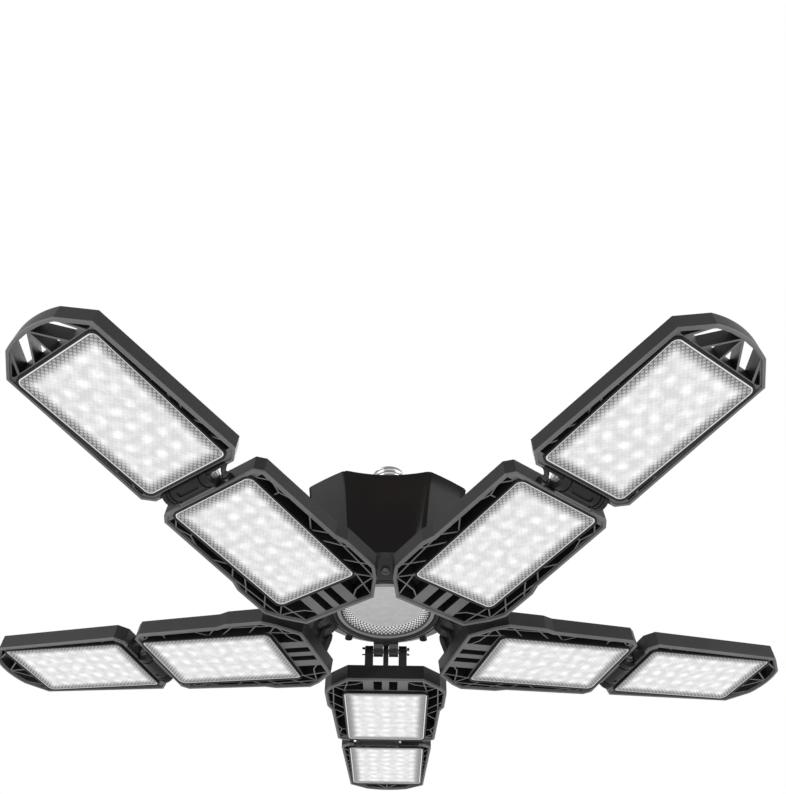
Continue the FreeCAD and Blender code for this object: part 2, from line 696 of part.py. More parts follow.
def make_hub_screws(label):
    """Five screws up through the skirt, between the arms."""
    lift = -DROP
    screws = []
    for k in range(5):
        angle = math.radians(-90.0 + 72.0 * k)
        x, y = 47.0 * math.cos(angle), 47.0 * math.sin(angle)
        shaft = Part.makeCylinder(1.6, 9.5, V(x, y, 14.5 + lift))
        head = Part.makeCylinder(2.8, 1.5, V(x, y, 13.6 + lift))
        slot = Part.makeBox(3.6, 0.7, 0.7, V(x - 1.8, y - 0.35, 13.6 + lift))
        screws.append(shaft.fuse(head).cut(slot))
    feature = doc.addObject("Part::Feature", label)
    feature.Label = label
    feature.Shape = Part.makeCompound(screws)
    feature.Placement = FreeCAD.Placement()
    return feature


def make_turned(label, loops):
    body = new_body(label)
    for loop in loops:
        turn(body, [(r, z - DROP) + tuple(rest) for r, z, *rest in loop])
    return body


def make_centre_lens(label):
    level = D["centre_lens_level"]
    radius = D["centre_lens_radius"]
    loop = [(0.0, level + 0.4), (11.0, level + 0.4), (11.4, level), (30.0, level), (radius, level + 0.6),
            (radius, level + 2.6), (0.0, level + 2.6)]
    return make_turned(label, [loop])


def make_bezel(label):
    level = D["centre_lens_level"]
    inner = D["centre_lens_radius"] + D["lens_gap"]
    outer = D["bezel_radius"]
    loop = [(inner, level + 0.2), (inner + 0.8, level - 0.9), (outer - 1.6, level - 1.5),
            (outer, level - 0.8), (outer - 3.2, level - 0.7), (outer - 3.4, level + 1.6),
            (inner, level + 2.0)]
    return make_turned(label, [loop])


def make_centre_board(label):
    body = new_body(label)
    plate = new_sketch(body, "XY_Plane", 20.0 - D["board_thickness"] - DROP,
                       "20 - sizes.board_thickness - sizes.plane_drop")
    draw_circle(plate, 0, 0, 33.0)
    pad(body, plate, D["board_thickness"], "sizes.board_thickness")
    chips = new_sketch(body, "XY_Plane", 20.0 - D["board_thickness"] - D["chip_height"] - DROP)
    for ring_radius, count in ((9.0, 6), (18.0, 12), (27.0, 18)):
        for i in range(count):
            angle = 2 * math.pi * (i + 0.5) / count
            x, y = ring_radius * math.cos(angle), ring_radius * math.sin(angle)
            draw_loop(chips, rectangle(x - 1.4, x + 1.4, y - 1.4, y + 1.4))
    pad(body, chips, D["chip_height"] + 0.2)
    return body


def make_driver(label):
    """The driver: an upright board with its coil, capacitors and chips."""
    lift = -DROP
    board = Part.makeBox(52.0, 1.6, 48.0, V(-26.0, -0.8, 24.0 + lift))
    parts = [Part.makeCylinder(8.0, 12.0, V(-12.0, 0.6, 50.0 + lift), V(0, 1, 0)),
             Part.makeBox(17.0, 14.0, 15.0, V(4.0, 0.6, 44.0 + lift)),
             Part.makeCylinder(5.0, 16.0, V(-16.0, 6.0, 26.0 + lift)),
             Part.makeCylinder(4.0, 12.0, V(14.0, 5.0, 27.0 + lift)),
             Part.makeBox(10.0, 3.0, 8.0, V(-4.0, 0.6, 34.0 + lift))]
    feature = doc.addObject("Part::Feature", label)
    feature.Label = label
    feature.Shape = board.fuse(parts)
    feature.Placement = FreeCAD.Placement()
    return feature


def make_screw_shell(label):
    """The threaded shell, drawn as a turned wall with one ring per thread pitch."""
    body = new_body(label)
    pitch = D["thread_pitch"]
    crest = D["shell_radius"]
    valley = crest - D["thread_depth"]
    height = D["shell_height"]
    outside = [(crest - 0.2, 0.4), (valley, 1.6)]
    level = 1.6
    while level + pitch < height - 1.0:
        outside.append((crest - 0.25, level + pitch * 0.3))
        outside.append((crest, level + pitch * 0.5))
        outside.append((crest - 0.25, level + pitch * 0.7))
        level += pitch
        outside.append((valley, level))
    outside.append((valley, height - 1.2))
    outside.append((valley - 1.2, height))
    inside = [(valley - 2.0, height), (valley - 0.9, height - 1.6), (valley - 0.9, 0.4)]
    turn(body, outside + inside)
    return body


def make_collar(label):
    """The plastic collar under the shell, with the spigot that the shell is crimped on."""
    body = new_body(label)
    neck = D["neck_radius"]
    grip = D["shell_radius"] - D["thread_depth"] - 0.95
    turn(body, [(0.0, -3.0), (neck - 1.0, -3.0), (neck - 1.0, -2.0), (16.0, 0.3), (grip, 0.3), (grip, 18.0),
                (grip - 2.5, 18.0), (grip - 2.5, 0.0), (0.0, 0.0)])
    return body


def make_insulator(label):
    body = new_body(label)
    height = D["shell_height"]
    turn(body, [(4.2, height - 1.4), (9.9, height - 1.4), (10.0, height + 0.1), (6.2, height + 3.2),
                (4.2, height + 3.2)])
    return body


def make_contact(label):
    body = new_body(label)
    height = D["shell_height"]
    turn(body, [(0.0, height - 1.0), (4.1, height - 1.0), (4.1, height + 3.3), (5.2, height + 3.3),
                (4.6, height + 4.4), (2.5, height + 5.0), (0.0, height + 5.2)])
    return body


# ---------------------------------------------------------------- the whole light
ARMS = [("front_left", -126.0, -1), ("front_right", -54.0, 1), ("rear_right", 18.0, 1),
        ("rear_centre", 90.0, 1), ("rear_left", 162.0, -1)]
pieces = [make_hub_housing("hub_housing"), make_hub_base("hub_base"), make_hub_screws("hub_screws"),
          make_bezel("centre_bezel"), make_centre_lens("centre_lens"), make_centre_board("centre_led_board"),
          make_driver("driver_board"), make_collar("base_collar"), make_screw_shell("screw_shell"),
          make_insulator("base_insulator"), make_contact("base_contact")]
for name, angle, hand in ARMS:
    pieces.append(make_inner_housing("inner_housing_" + name, angle, hand))
    pieces.append(make_lens("inner_lens_" + name, angle, D["inner_lens_start"], D["inner_lens_end"]))
    pieces.append(make_board("inner_led_board_" + name, angle, D["inner_lens_start"], D["inner_lens_end"]))
    pieces.append(make_pin("root_screw_" + name, angle, D["root_x"], D["root_z"], D["root_pin_radius"],
                           -15.7, 15.7, 2.9))
    pieces.append(make_outer_housing("outer_housing_" + name, angle, hand))
    pieces.append(make_lens("outer_lens_" + name, angle, D["outer_lens_start"], D["outer_lens_end"]))
    pieces.append(make_board("outer_led_board_" + name, angle, D["outer_lens_start"], D["outer_lens_end"]))
    pieces.append(make_pin("outer_screw_" + name, angle, D["outer_x"], D["outer_z"], D["outer_pin_radius"],
                           -10.75 * hand, 25.35 * hand, 3.2))
    pieces.append(make_cable("jumper_cable_" + name, angle, hand))
doc.recompute()

# ---------------------------------------------------------------- checks and files
for item in doc.Objects:
    if "Invalid" in item.State or "Error" in item.State:
        raise RuntimeError("failed: " + item.Label)
os.makedirs("parts", exist_ok=True)
for piece in pieces:
    shape = piece.Shape
    if shape.isNull() or not shape.isValid() or not shape.Solids:
        raise RuntimeError("bad shape: " + piece.Label)
    shape.exportStep("parts/" + piece.Label + ".step")
print(len(pieces), "pieces written")
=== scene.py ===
"""Looks of the folding ceiling light: finishes, lenses, hub, screw base, hinge
screws and jumper cables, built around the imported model."""

import json
import math

import bmesh
import bpy
from bpy.props import FloatProperty, FloatVectorProperty, IntProperty, PointerProperty
from mathutils import Matrix, Vector


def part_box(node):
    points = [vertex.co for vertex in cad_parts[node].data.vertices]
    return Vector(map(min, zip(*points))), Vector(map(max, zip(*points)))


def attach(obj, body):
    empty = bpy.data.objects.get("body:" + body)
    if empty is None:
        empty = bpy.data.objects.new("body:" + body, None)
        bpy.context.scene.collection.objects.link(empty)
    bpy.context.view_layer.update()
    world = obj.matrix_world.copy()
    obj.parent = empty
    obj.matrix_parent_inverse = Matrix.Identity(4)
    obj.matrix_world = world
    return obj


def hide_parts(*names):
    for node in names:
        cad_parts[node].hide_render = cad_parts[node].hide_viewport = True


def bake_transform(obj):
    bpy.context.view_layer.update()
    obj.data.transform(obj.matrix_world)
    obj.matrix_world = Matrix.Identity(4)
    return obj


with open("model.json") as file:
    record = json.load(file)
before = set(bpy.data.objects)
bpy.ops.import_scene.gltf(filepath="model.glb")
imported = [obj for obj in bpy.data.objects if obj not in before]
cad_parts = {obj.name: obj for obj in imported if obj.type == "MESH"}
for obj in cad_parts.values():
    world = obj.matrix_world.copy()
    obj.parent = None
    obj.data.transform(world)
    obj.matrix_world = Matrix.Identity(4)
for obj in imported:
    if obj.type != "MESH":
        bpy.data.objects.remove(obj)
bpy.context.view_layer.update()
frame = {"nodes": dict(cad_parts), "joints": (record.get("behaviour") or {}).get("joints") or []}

bl_info = {
    "name": "Folding Ceiling Light",
    "version": (1, 0, 0),
    "blender": (4, 5, 0),
    "location": "View3D > Sidebar > Ceiling Light",
    "description": "Dresses a screw-in ceiling light with a lobed hub and five folding lamp arms",
    "category": "Object",
}

# ------------------------------------------------------------------ the arm frame
# Every arm is drawn in its own frame: x outward along it, y across it, z square to
# its panels. The frames are the part's own, in metres.
ARM_REACH = 0.0484
PLANE_DROP = 0.117
ARM_TILT = math.radians(6.0)
RIM = -0.013
RIB_TOP = -0.0116

# Each panel's lens runs from its first x to its second and lies in a walled frame.
LENSES = {"inner": (0.0253, 0.1259), "outer": (0.1457, 0.2468)}
LENS_HALF_WIDTH = 0.0312
LENS_THICKNESS = 0.0022
LENS_CORNER = 0.004
LENS_RIM = 0.0009
FRAME_WALL = 0.0015
CORNER_STEPS = 6

# The light chips behind each lens stand in rows along it.
CHIP_MARGIN = 0.009
CHIP_ROWS = 8
CHIP_STEP_ACROSS = 0.012
CHIP_SPOT = 0.0062

# How brightly a lens glows at its edge, in its middle and right over a chip. It is darker within the band
# along its edge, where painted shade in its grooves is deepest.
EDGE_LEVEL = 0.19
MIDDLE_LEVEL = 0.60
CHIP_LEVEL = 0.80
LENS_BAND = 0.011
# How much painted shade darkens the prism grooves in a lens's middle.
MIDDLE_GROOVE_SHADE = 0.08

# The outer hinge: its barrels, and the two faces between which its cable runs.
BARREL_MIDDLE = 0.1365
BARREL_REACH = 0.0062
BARREL_HALF_LENGTH = 0.0285
GLAND_FACE = 0.1312
GLAND_RADIUS = 0.0026
INLET_FACE = 0.1397
INLET_RADIUS = 0.0023

# ------------------------------------------------------------------ the hub
# The upright corners of its lobes lie outside the corner radius, and are longer and
# sharper than any other edge there.
HUB_BODY = "hub"
HUB_CORNER_RADIUS = 0.0752
HUB_CORNER_LENGTH = 0.03
HUB_CORNER_ANGLE = math.radians(40.0)
HUB_CORNER_BEVEL = 0.0012
CENTRE_LENS_RADIUS = 0.0348
CENTRE_LENS_LEVEL = -PLANE_DROP + 0.0124

# The centre lens's areas: name, colour, and glow at the disc's edge and at the lip. The wall's dark colour
# and low glow are painted shade between the dots.
DISC, WALL, LIP, DOTS = range(4)
DISH_LOOKS = (
    ("centre disc", (0.20, 0.20, 0.205), 0.28, 0.28),
    ("centre wall", (0.03, 0.03, 0.032), 0.07, 0.015),
    ("centre lip", (0.12, 0.12, 0.12), 0.10, 0.10),
    ("centre dots", (0.25, 0.25, 0.255), 0.60, 0.16),
)

# Edges that turn by more than this stay sharp.
CREASE = math.radians(30.0)

# ------------------------------------------------------------------ the stage
# The lamps: name, place, size and power. They shine at the middle of the light.
LAMPS = (
    ("front left", (-1.3, -1.0, 0.1), 1.2, 14.0),
    ("front right", (1.4, -0.7, 0.0), 0.9, 10.0),
    ("below", (0.1, -0.9, -1.2), 1.0, 8.0),
    ("above", (0.3, 0.9, 1.3), 1.4, 14.0),
)
LAMP_TARGET = Vector((0.0, 0.0, -0.06))
FLOOR_RADIUS = 30.0

# The camera stands in front of the light and below it, and looks up.
CAMERA_PLACE = Vector((0.00809, -0.54496, -0.44778))
CAMERA_YAW = -0.0107
CAMERA_PITCH = 0.8019
CAMERA_ROLL = 0.0186
CAMERA_LENS = 39.93


def arm_angles():
    """Each arm's name and direction about +Z, read from the root hinges."""
    angles = {}
    for joint in frame["joints"]:
        if joint["name"].startswith("root_hinge_"):
            x, y, z = joint["axis"]
            angles[joint["name"][len("root_hinge_"):]] = math.atan2(x, -y)
    return angles


ARMS = arm_angles()


def hinge_hand(arm):
    """+1 or -1: the side of the arm on which its outer hinge's barrel ends."""
    low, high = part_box("outer_screw_" + arm)
    middle = arm_matrix(arm).inverted() @ ((low + high) / 2)
    return 1.0 if middle.y > 0 else -1.0


def arm_matrix(arm):
    return (Matrix.Rotation(ARMS[arm], 4, "Z") @ Matrix.Translation((ARM_REACH, 0.0, -PLANE_DROP))
            @ Matrix.Rotation(-ARM_TILT, 4, "Y"))


# ------------------------------------------------------------------ node helpers
BLACK = (0.0, 0.0, 0.0, 1.0)
WHITE = (1.0, 1.0, 1.0, 1.0)
COLOUR_A = 6
COLOUR_B = 7
MIXED_COLOUR = 2


def feed(tree, node, inputs):
    """Fills a node's inputs with values, or links them to the sockets given instead."""
    for key, value in inputs.items():
        if isinstance(value, bpy.types.NodeSocket):
            tree.links.new(value, node.inputs[key])
        else:
            node.inputs[key].default_value = value


def add_node(tree, kind, inputs=None, **settings):
    """A node with its settings; inputs are values or the sockets that feed them."""
    made = tree.nodes.new(kind)
    for name, value in settings.items():
        setattr(made, name, value)
    feed(tree, made, inputs or {})
    return made


def vector_math(tree, operation, first, second=(0.0, 0.0, 0.0)):
    """The result of a vector operation that needs one or two vectors."""
    made = add_node(tree, "ShaderNodeVectorMath", {0: first, 1: second}, operation=operation)
    return made.outputs["Value" if operation == "LENGTH" else "Vector"]


def calculate(tree, operation, first, second=0.0):
    """The result of a sum on one or two values."""
    made = add_node(tree, "ShaderNodeMath", {0: first, 1: second}, operation=operation)
    return made.outputs[0]


def blend_colours(tree, factor, first, second):
    """Factor 0 gives the first colour and 1 the second."""
    made = add_node(tree, "ShaderNodeMix", {"Factor": factor, COLOUR_A: first, COLOUR_B: second},
                    data_type="RGBA")
    return made.outputs[MIXED_COLOUR]


def ramp(tree, value, low, high, to_low=0.0, to_high=1.0):
    """A value taken smoothly from one range to another and held at its ends."""
    made = add_node(tree, "ShaderNodeMapRange",
                    {"Value": value, "From Min": low, "From Max": high, "To Min": to_low, "To Max": to_high},
                    interpolation_type="SMOOTHSTEP")
    return made.outputs["Result"]


def new_group(name, inputs, outputs):
    """A shader node group with named sockets: (name, type, default) and (name, type)."""
    tree = bpy.data.node_groups.new(name, "ShaderNodeTree")
    for label, kind, default in inputs:
        socket = tree.interface.new_socket(name=label, in_out="INPUT", socket_type=kind)
        if default is not None:
            socket.default_value = default
    for label, kind in outputs:
        tree.interface.new_socket(name=label, in_out="OUTPUT", socket_type=kind)
    return tree, tree.nodes.new("NodeGroupInput"), tree.nodes.new("NodeGroupOutput")


def opaque(colour, brightness=1.0):
    """A colour of three values, made brighter or darker, with its alpha."""
    return tuple(brightness * value for value in colour) + (1.0,)


# ------------------------------------------------------------------ effects
FLOAT = "NodeSocketFloat"
VECTOR = "NodeSocketVector"
FLAT = (1.0, 1.0, 0.0)


def grain_effect():
    """Fine moulded grain with slow unevenness: Height for bump, Cloud for tone and gloss."""
    tree, given, result = new_group(
        "moulded grain",
        [("Vector", VECTOR, None), ("Grain Size", FLOAT, 0.0006), ("Cloud Size", FLOAT, 0.03)],
        [("Height", FLOAT), ("Cloud", FLOAT)])
    fine_scale = calculate(tree, "DIVIDE", 1.0, given.outputs["Grain Size"])
    slow_scale = calculate(tree, "DIVIDE", 1.0, given.outputs["Cloud Size"])
    fine = add_node(tree, "ShaderNodeTexNoise", {"Vector": given.outputs["Vector"], "Scale": fine_scale,
                                                 "Detail": 3.0, "Roughness": 0.6})
    slow = add_node(tree, "ShaderNodeTexNoise", {"Vector": given.outputs["Vector"], "Scale": slow_scale,
                                                 "Detail": 4.0, "Roughness": 0.55})
    tree.links.new(fine.outputs[0], result.inputs["Height"])
    tree.links.new(ramp(tree, slow.outputs[0], 0.32, 0.68), result.inputs["Cloud"])
    return tree


def tops_effect():
    """Mask of what stands up to a level of the arm frame: 1 at the level and below it."""
    tree, given, result = new_group(
        "raised tops", [("Vector", VECTOR, None), ("Level", FLOAT, RIB_TOP), ("Softness", FLOAT, 0.0003)],
        [("Mask", FLOAT)])
    split = add_node(tree, "ShaderNodeSeparateXYZ", {"Vector": given.outputs["Vector"]})
    high = calculate(tree, "ADD", given.outputs["Level"], given.outputs["Softness"])
    depth = calculate(tree, "SUBTRACT", high, split.outputs["Z"])
    share = calculate(tree, "DIVIDE", depth, given.outputs["Softness"])
    tree.links.new(ramp(tree, share, 0.0, 1.0), result.inputs["Mask"])
    return tree


def radius_effect():
    """Distance from the Z axis as a share: 0 at Inner, 1 at Outer."""
    tree, given, result = new_group(
        "radius share", [("Vector", VECTOR, None), ("Inner", FLOAT, 0.0), ("Outer", FLOAT, 0.01)],
        [("Share", FLOAT)])
    radius = vector_math(tree, "LENGTH", vector_math(tree, "MULTIPLY", given.outputs["Vector"], FLAT))
    share = ramp(tree, radius, given.outputs["Inner"], given.outputs["Outer"])
    tree.links.new(share, result.inputs["Share"])
    return tree


def spots_effect():
    """Soft bright spots over a grid of light chips: Glow is 1 right over a chip."""
    tree, given, result = new_group(
        "chip spots",
        [("Vector", VECTOR, None), ("First", VECTOR, None), ("Step", VECTOR, None), ("Radius", FLOAT, 0.006)],
        [("Glow", FLOAT)])
    half_cell = (0.5, 0.5, 0.0)
    moved = vector_math(tree, "SUBTRACT", given.outputs["Vector"], given.outputs["First"])
    cells = vector_math(tree, "DIVIDE", moved, given.outputs["Step"])
    inside = vector_math(tree, "FRACTION", vector_math(tree, "ADD", cells, half_cell))
    centred = vector_math(tree, "SUBTRACT", inside, half_cell)
    real = vector_math(tree, "MULTIPLY", centred, given.outputs["Step"])
    distance = vector_math(tree, "LENGTH", vector_math(tree, "MULTIPLY", real, FLAT))
    share = calculate(tree, "DIVIDE", distance, given.outputs["Radius"])
    tree.links.new(ramp(tree, share, 1.0, 0.0), result.inputs["Glow"])
    return tree


def border_effect():
    """How far a point is inside a rectangle with round corners: Inside is 0 at its edge and 1
    from Width on."""
    tree, given, result = new_group(
        "inside border",
        [("Vector", VECTOR, None), ("Centre", VECTOR, None), ("Half Size", VECTOR, None),
         ("Corner", FLOAT, 0.004), ("Width", FLOAT, 0.008)],
        [("Inside", FLOAT)])
    moved = vector_math(tree, "SUBTRACT", given.outputs["Vector"], given.outputs["Centre"])
    beyond = vector_math(tree, "SUBTRACT", vector_math(tree, "ABSOLUTE", moved), given.outputs["Half Size"])
    split = add_node(tree, "ShaderNodeSeparateXYZ", {"Vector": beyond})
    x = calculate(tree, "ADD", split.outputs["X"], given.outputs["Corner"])
    y = calculate(tree, "ADD", split.outputs["Y"], given.outputs["Corner"])
    around_corner = add_node(tree, "ShaderNodeCombineXYZ", {"X": calculate(tree, "MAXIMUM", x, 0.0),
                                                            "Y": calculate(tree, "MAXIMUM", y, 0.0)})
    outward = vector_math(tree, "LENGTH", around_corner.outputs[0])
    inward = calculate(tree, "MINIMUM", calculate(tree, "MAXIMUM", x, y), 0.0)
    distance = calculate(tree, "SUBTRACT", given.outputs["Corner"],
                         calculate(tree, "ADD", outward, inward))
    share = calculate(tree, "DIVIDE", distance, given.outputs["Width"])
    tree.links.new(ramp(tree, share, 0.0, 1.0), result.inputs["Inside"])
    return tree


EFFECT_MAKERS = {"grain": grain_effect, "tops": tops_effect, "radius": radius_effect,
                 "spots": spots_effect, "border": border_effect}
effects = {}


def use_effect(tree, name, inputs):
    """An effect's group as a node, with its inputs filled; each effect is made once."""
    if name not in effects:
        effects[name] = EFFECT_MAKERS[name]()
    made = tree.nodes.new("ShaderNodeGroup")
    made.node_tree = effects[name]
    feed(tree, made, inputs)
    return made


# ------------------------------------------------------------------ finishes
DUSTY = 1.8
# Colour of the painted shade in the lens's prism grooves.
GROOVE_SHADE_COLOUR = (0.06, 0.06, 0.065, 1.0)


def new_finish(name):
    """A material with an empty Principled surface; returns it, its tree and its shader."""
    material = bpy.data.materials.new(name)
    material.use_nodes = True
    tree = material.node_tree
    return material, tree, tree.nodes["Principled BSDF"]


def object_coordinates(tree):
    return tree.nodes.new("ShaderNodeTexCoord").outputs["Object"]


def arm_coordinates(tree, arm):
    """Object coordinates turned into an arm's own frame."""
    origin = arm_matrix(arm).translation
    mapping = add_node(tree, "ShaderNodeMapping",
                       {"Vector": object_coordinates(tree), "Location": origin,
                        "Rotation": (0.0, -ARM_TILT, ARMS[arm])},
                       vector_type="TEXTURE")
    return mapping.outputs[0]


def set_bump(tree, shader, height, distance):
    bump = add_node(tree, "ShaderNodeBump", {"Height": height, "Distance": distance})
    tree.links.new(bump.outputs["Normal"], shader.inputs["Normal"])


def plastic_finish(name, colour, dusty, roughness, grain_size, bump, specular=0.5):
    """Moulded plastic: two near tones in slow clouds, uneven gloss and a fine grain."""
    material, tree, shader = new_finish(name)
    grain = use_effect(tree, "grain", {"Vector": object_coordinates(tree), "Grain Size": grain_size})
    tree.links.new(blend_colours(tree, grain.outputs["Cloud"], colour, dusty), shader.inputs["Base Color"])
    gloss = ramp(tree, grain.outputs["Cloud"], 0.0, 1.0, roughness * 0.85, roughness * 1.15)
    tree.links.new(gloss, shader.inputs["Roughness"])
    shader.inputs["Specular IOR Level"].default_value = specular
    set_bump(tree, shader, grain.outputs["Height"], bump)
    return material


def board_finish(name):
    """White solder mask of the light boards."""
    return plastic_finish(name, (0.78, 0.79, 0.76, 1.0), (0.70, 0.71, 0.68, 1.0), roughness=0.4,
                          grain_size=0.0008, bump=0.00002)


def lens_rectangle(panel, margin=0.0):
    """Centre and half size of a panel's lens in the arm frame, grown by a margin."""
    start, end = LENSES[panel]
    centre = ((start + end) / 2, 0.0, 0.0)
    return centre, ((end - start) / 2 + margin, LENS_HALF_WIDTH + margin, 1.0)


def panel_finish(arm, settings):
    """Black panel plastic in the arm's frame: rib tops and rims get a painted highlight, a lighter colour,
    but the lens frames and the barrels of the outer hinge don't."""
    material, tree, shader = new_finish("panel black " + arm)
    place = arm_coordinates(tree, arm)
    grain = use_effect(tree, "grain", {"Vector": place, "Grain Size": 0.0009, "Cloud Size": 0.05})
    tops = use_effect(tree, "tops", {"Vector": place, "Level": RIB_TOP, "Softness": 0.0004})
    # The mask of the rib tops and rims, which are painted lighter as a painted highlight.
    edge = tops.outputs["Mask"]
    unhighlighted_areas = [lens_rectangle(panel, FRAME_WALL) for panel in LENSES]
    unhighlighted_areas.append(((BARREL_MIDDLE, 0.0, 0.0), (BARREL_REACH, BARREL_HALF_LENGTH, 1.0)))
    for centre, half_size in unhighlighted_areas:
        area = use_effect(tree, "border",
                         {"Vector": place, "Centre": centre, "Half Size": half_size,
                          "Corner": LENS_CORNER + FRAME_WALL, "Width": 0.0002})
        edge = calculate(tree, "MULTIPLY", edge, calculate(tree, "SUBTRACT", 1.0, area.outputs["Inside"]))
    edge = calculate(tree, "MULTIPLY", edge, ramp(tree, grain.outputs["Cloud"], 0.0, 1.0, 0.75, 1.0))
    base = blend_colours(tree, grain.outputs["Cloud"], opaque(settings.panel_colour),
                         opaque(settings.panel_colour, DUSTY))
    # Painted highlight: the masked rib tops and rims take the lighter highlight colour.
    with_painted_highlight = blend_colours(tree, edge, base, opaque(settings.rib_highlight_colour))
    tree.links.new(with_painted_highlight, shader.inputs["Base Color"])
    satin = ramp(tree, grain.outputs["Cloud"], 0.0, 1.0, 0.34, 0.46)
    tree.links.new(satin, shader.inputs["Roughness"])
    shader.inputs["Specular IOR Level"].default_value = settings.panel_shine
    set_bump(tree, shader, grain.outputs["Height"], distance=0.00006)
    return material


def lens_finish(name, arm, panel, settings):
    """Lit prismatic plastic: it glows over its chips and is greyer within a band at its edge. Painted shade
    darkens the grooves between its prisms, most within that band, and a painted highlight glows along its
    bright rim."""
    material, tree, shader = new_finish(name)
    place = arm_coordinates(tree, arm)
    centre, half_size = lens_rectangle(panel)

    def inside(width):
        border = use_effect(tree, "border", {"Vector": place, "Centre": centre, "Half Size": half_size,
                                             "Corner": LENS_CORNER, "Width": width})
        return border.outputs["Inside"]

    start, end = LENSES[panel]
    step = (end - start - 2 * CHIP_MARGIN) / (CHIP_ROWS - 1)
    spots = use_effect(tree, "spots", {"Vector": place, "First": (start + CHIP_MARGIN, 0.0, 0.0),
                                       "Step": (step, CHIP_STEP_ACROSS, 1.0), "Radius": CHIP_SPOT})
    tops = use_effect(tree, "tops", {"Vector": place, "Level": RIM, "Softness": settings.prism_height})
    grain = use_effect(tree, "grain", {"Vector": place, "Grain Size": 0.0010, "Cloud Size": 0.006})
    within_band = inside(LENS_BAND)

    spot = ramp(tree, spots.outputs["Glow"], 0.0, 1.0, MIDDLE_LEVEL, CHIP_LEVEL)
    mottle = ramp(tree, grain.outputs["Cloud"], 0.0, 1.0, 0.80, 1.0)
    fade = ramp(tree, within_band, 0.0, 1.0, EDGE_LEVEL / MIDDLE_LEVEL, 1.0)
    level = calculate(tree, "MULTIPLY", calculate(tree, "MULTIPLY", spot, mottle), fade)
    # Painted shade: the valleys between the prisms are darkened, in glow and in colour, most within the band
    # at the edge.
    valley = calculate(tree, "SUBTRACT", 1.0, tops.outputs["Mask"])
    depth = ramp(tree, within_band, 0.0, 1.0, settings.groove_shade_depth, MIDDLE_GROOVE_SHADE)
    groove = calculate(tree, "MULTIPLY", ramp(tree, valley, 0.35, 0.95), depth)
    light = calculate(tree, "MULTIPLY", level, calculate(tree, "SUBTRACT", 1.0, groove))
    # Painted highlight: a bright line glows along the lens's rim.
    rim = ramp(tree, inside(1.5 * LENS_RIM), 0.75, 0.35)
    light = calculate(tree, "MAXIMUM", light, calculate(tree, "MULTIPLY", rim, MIDDLE_LEVEL))
    tree.links.new(blend_colours(tree, light, BLACK, WHITE), shader.inputs["Emission Color"])
    shader.inputs["Emission Strength"].default_value = settings.glow

    colour = blend_colours(tree, groove, opaque(settings.lens_colour), GROOVE_SHADE_COLOUR)
    tree.links.new(colour, shader.inputs["Base Color"])
    tree.links.new(ramp(tree, groove, 0.0, 1.0, 0.25, 0.5), shader.inputs["Roughness"])
    set_bump(tree, shader, grain.outputs["Height"], distance=0.00002)
    return material


def metal_finish(name, colour, tarnish_and_shade, roughness, groove=None):
    """Plated metal: slow tarnish, fine scratches and uneven gloss. groove is the radii about the Z axis
    between which painted shade in the thread's valleys, in the tarnish colour, gives way to clean metal."""
    material, tree, shader = new_finish(name)
    place = object_coordinates(tree)
    grain = use_effect(tree, "grain", {"Vector": place, "Grain Size": 0.0004, "Cloud Size": 0.006})
    clean_and_unshaded = calculate(tree, "SUBTRACT", 1.0, calculate(tree, "MULTIPLY", grain.outputs["Cloud"], 0.5))
    # Painted shade: inside the groove radii the metal is darkened towards the tarnish colour, most in the
    # thread's valleys.
    if groove:
        height = use_effect(tree, "radius", {"Vector": place, "Inner": groove[0], "Outer": groove[1]})
        clean_and_unshaded = calculate(tree, "MULTIPLY", clean_and_unshaded, height.outputs["Share"])
    tree.links.new(blend_colours(tree, clean_and_unshaded, tarnish_and_shade, colour), shader.inputs["Base Color"])
    shader.inputs["Metallic"].default_value = 1.0
    gloss = ramp(tree, clean_and_unshaded, 0.0, 1.0, roughness * 1.5, roughness)
    tree.links.new(gloss, shader.inputs["Roughness"])
    set_bump(tree, shader, grain.outputs["Height"], distance=0.00001)
    return material


def give(node, material):
    """Puts a finish on a carried-over node."""
    mesh = frame["nodes"][node].data
    mesh.materials.clear()
    mesh.materials.append(material)


# ------------------------------------------------------------------ mesh helpers
def new_piece(name, bm, material, body=None):
    """Ends a bmesh as an object at the origin, which rides on a body where one is given."""
    for face in bm.faces:
        face.smooth = True
    for edge in bm.edges:
        edge.smooth = edge.is_manifold and edge.calc_face_angle() < CREASE
    mesh = bpy.data.meshes.new(name)
    bm.to_mesh(mesh)
    bm.free()
    mesh.materials.append(material)
    piece = bpy.data.objects.new(name, mesh)
    bpy.context.scene.collection.objects.link(piece)
    if body:
        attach(piece, body)
    return piece


def turned(profile, steps):
    """A full turn about Z of (radius, height) points; points on the axis close themselves."""
    bm = bmesh.new()
    verts = [bm.verts.new((r, 0.0, z)) for r, z in profile]
    edges = [bm.edges.new(pair) for pair in zip(verts, verts[1:])]
    bmesh.ops.spin(bm, geom=verts + edges, cent=(0, 0, 0), axis=(0, 0, 1), angle=math.tau, steps=steps,
                   use_merge=True)
    bmesh.ops.remove_doubles(bm, verts=bm.verts[:], dist=1e-6)
    bmesh.ops.recalc_face_normals(bm, faces=bm.faces[:])
    return bm


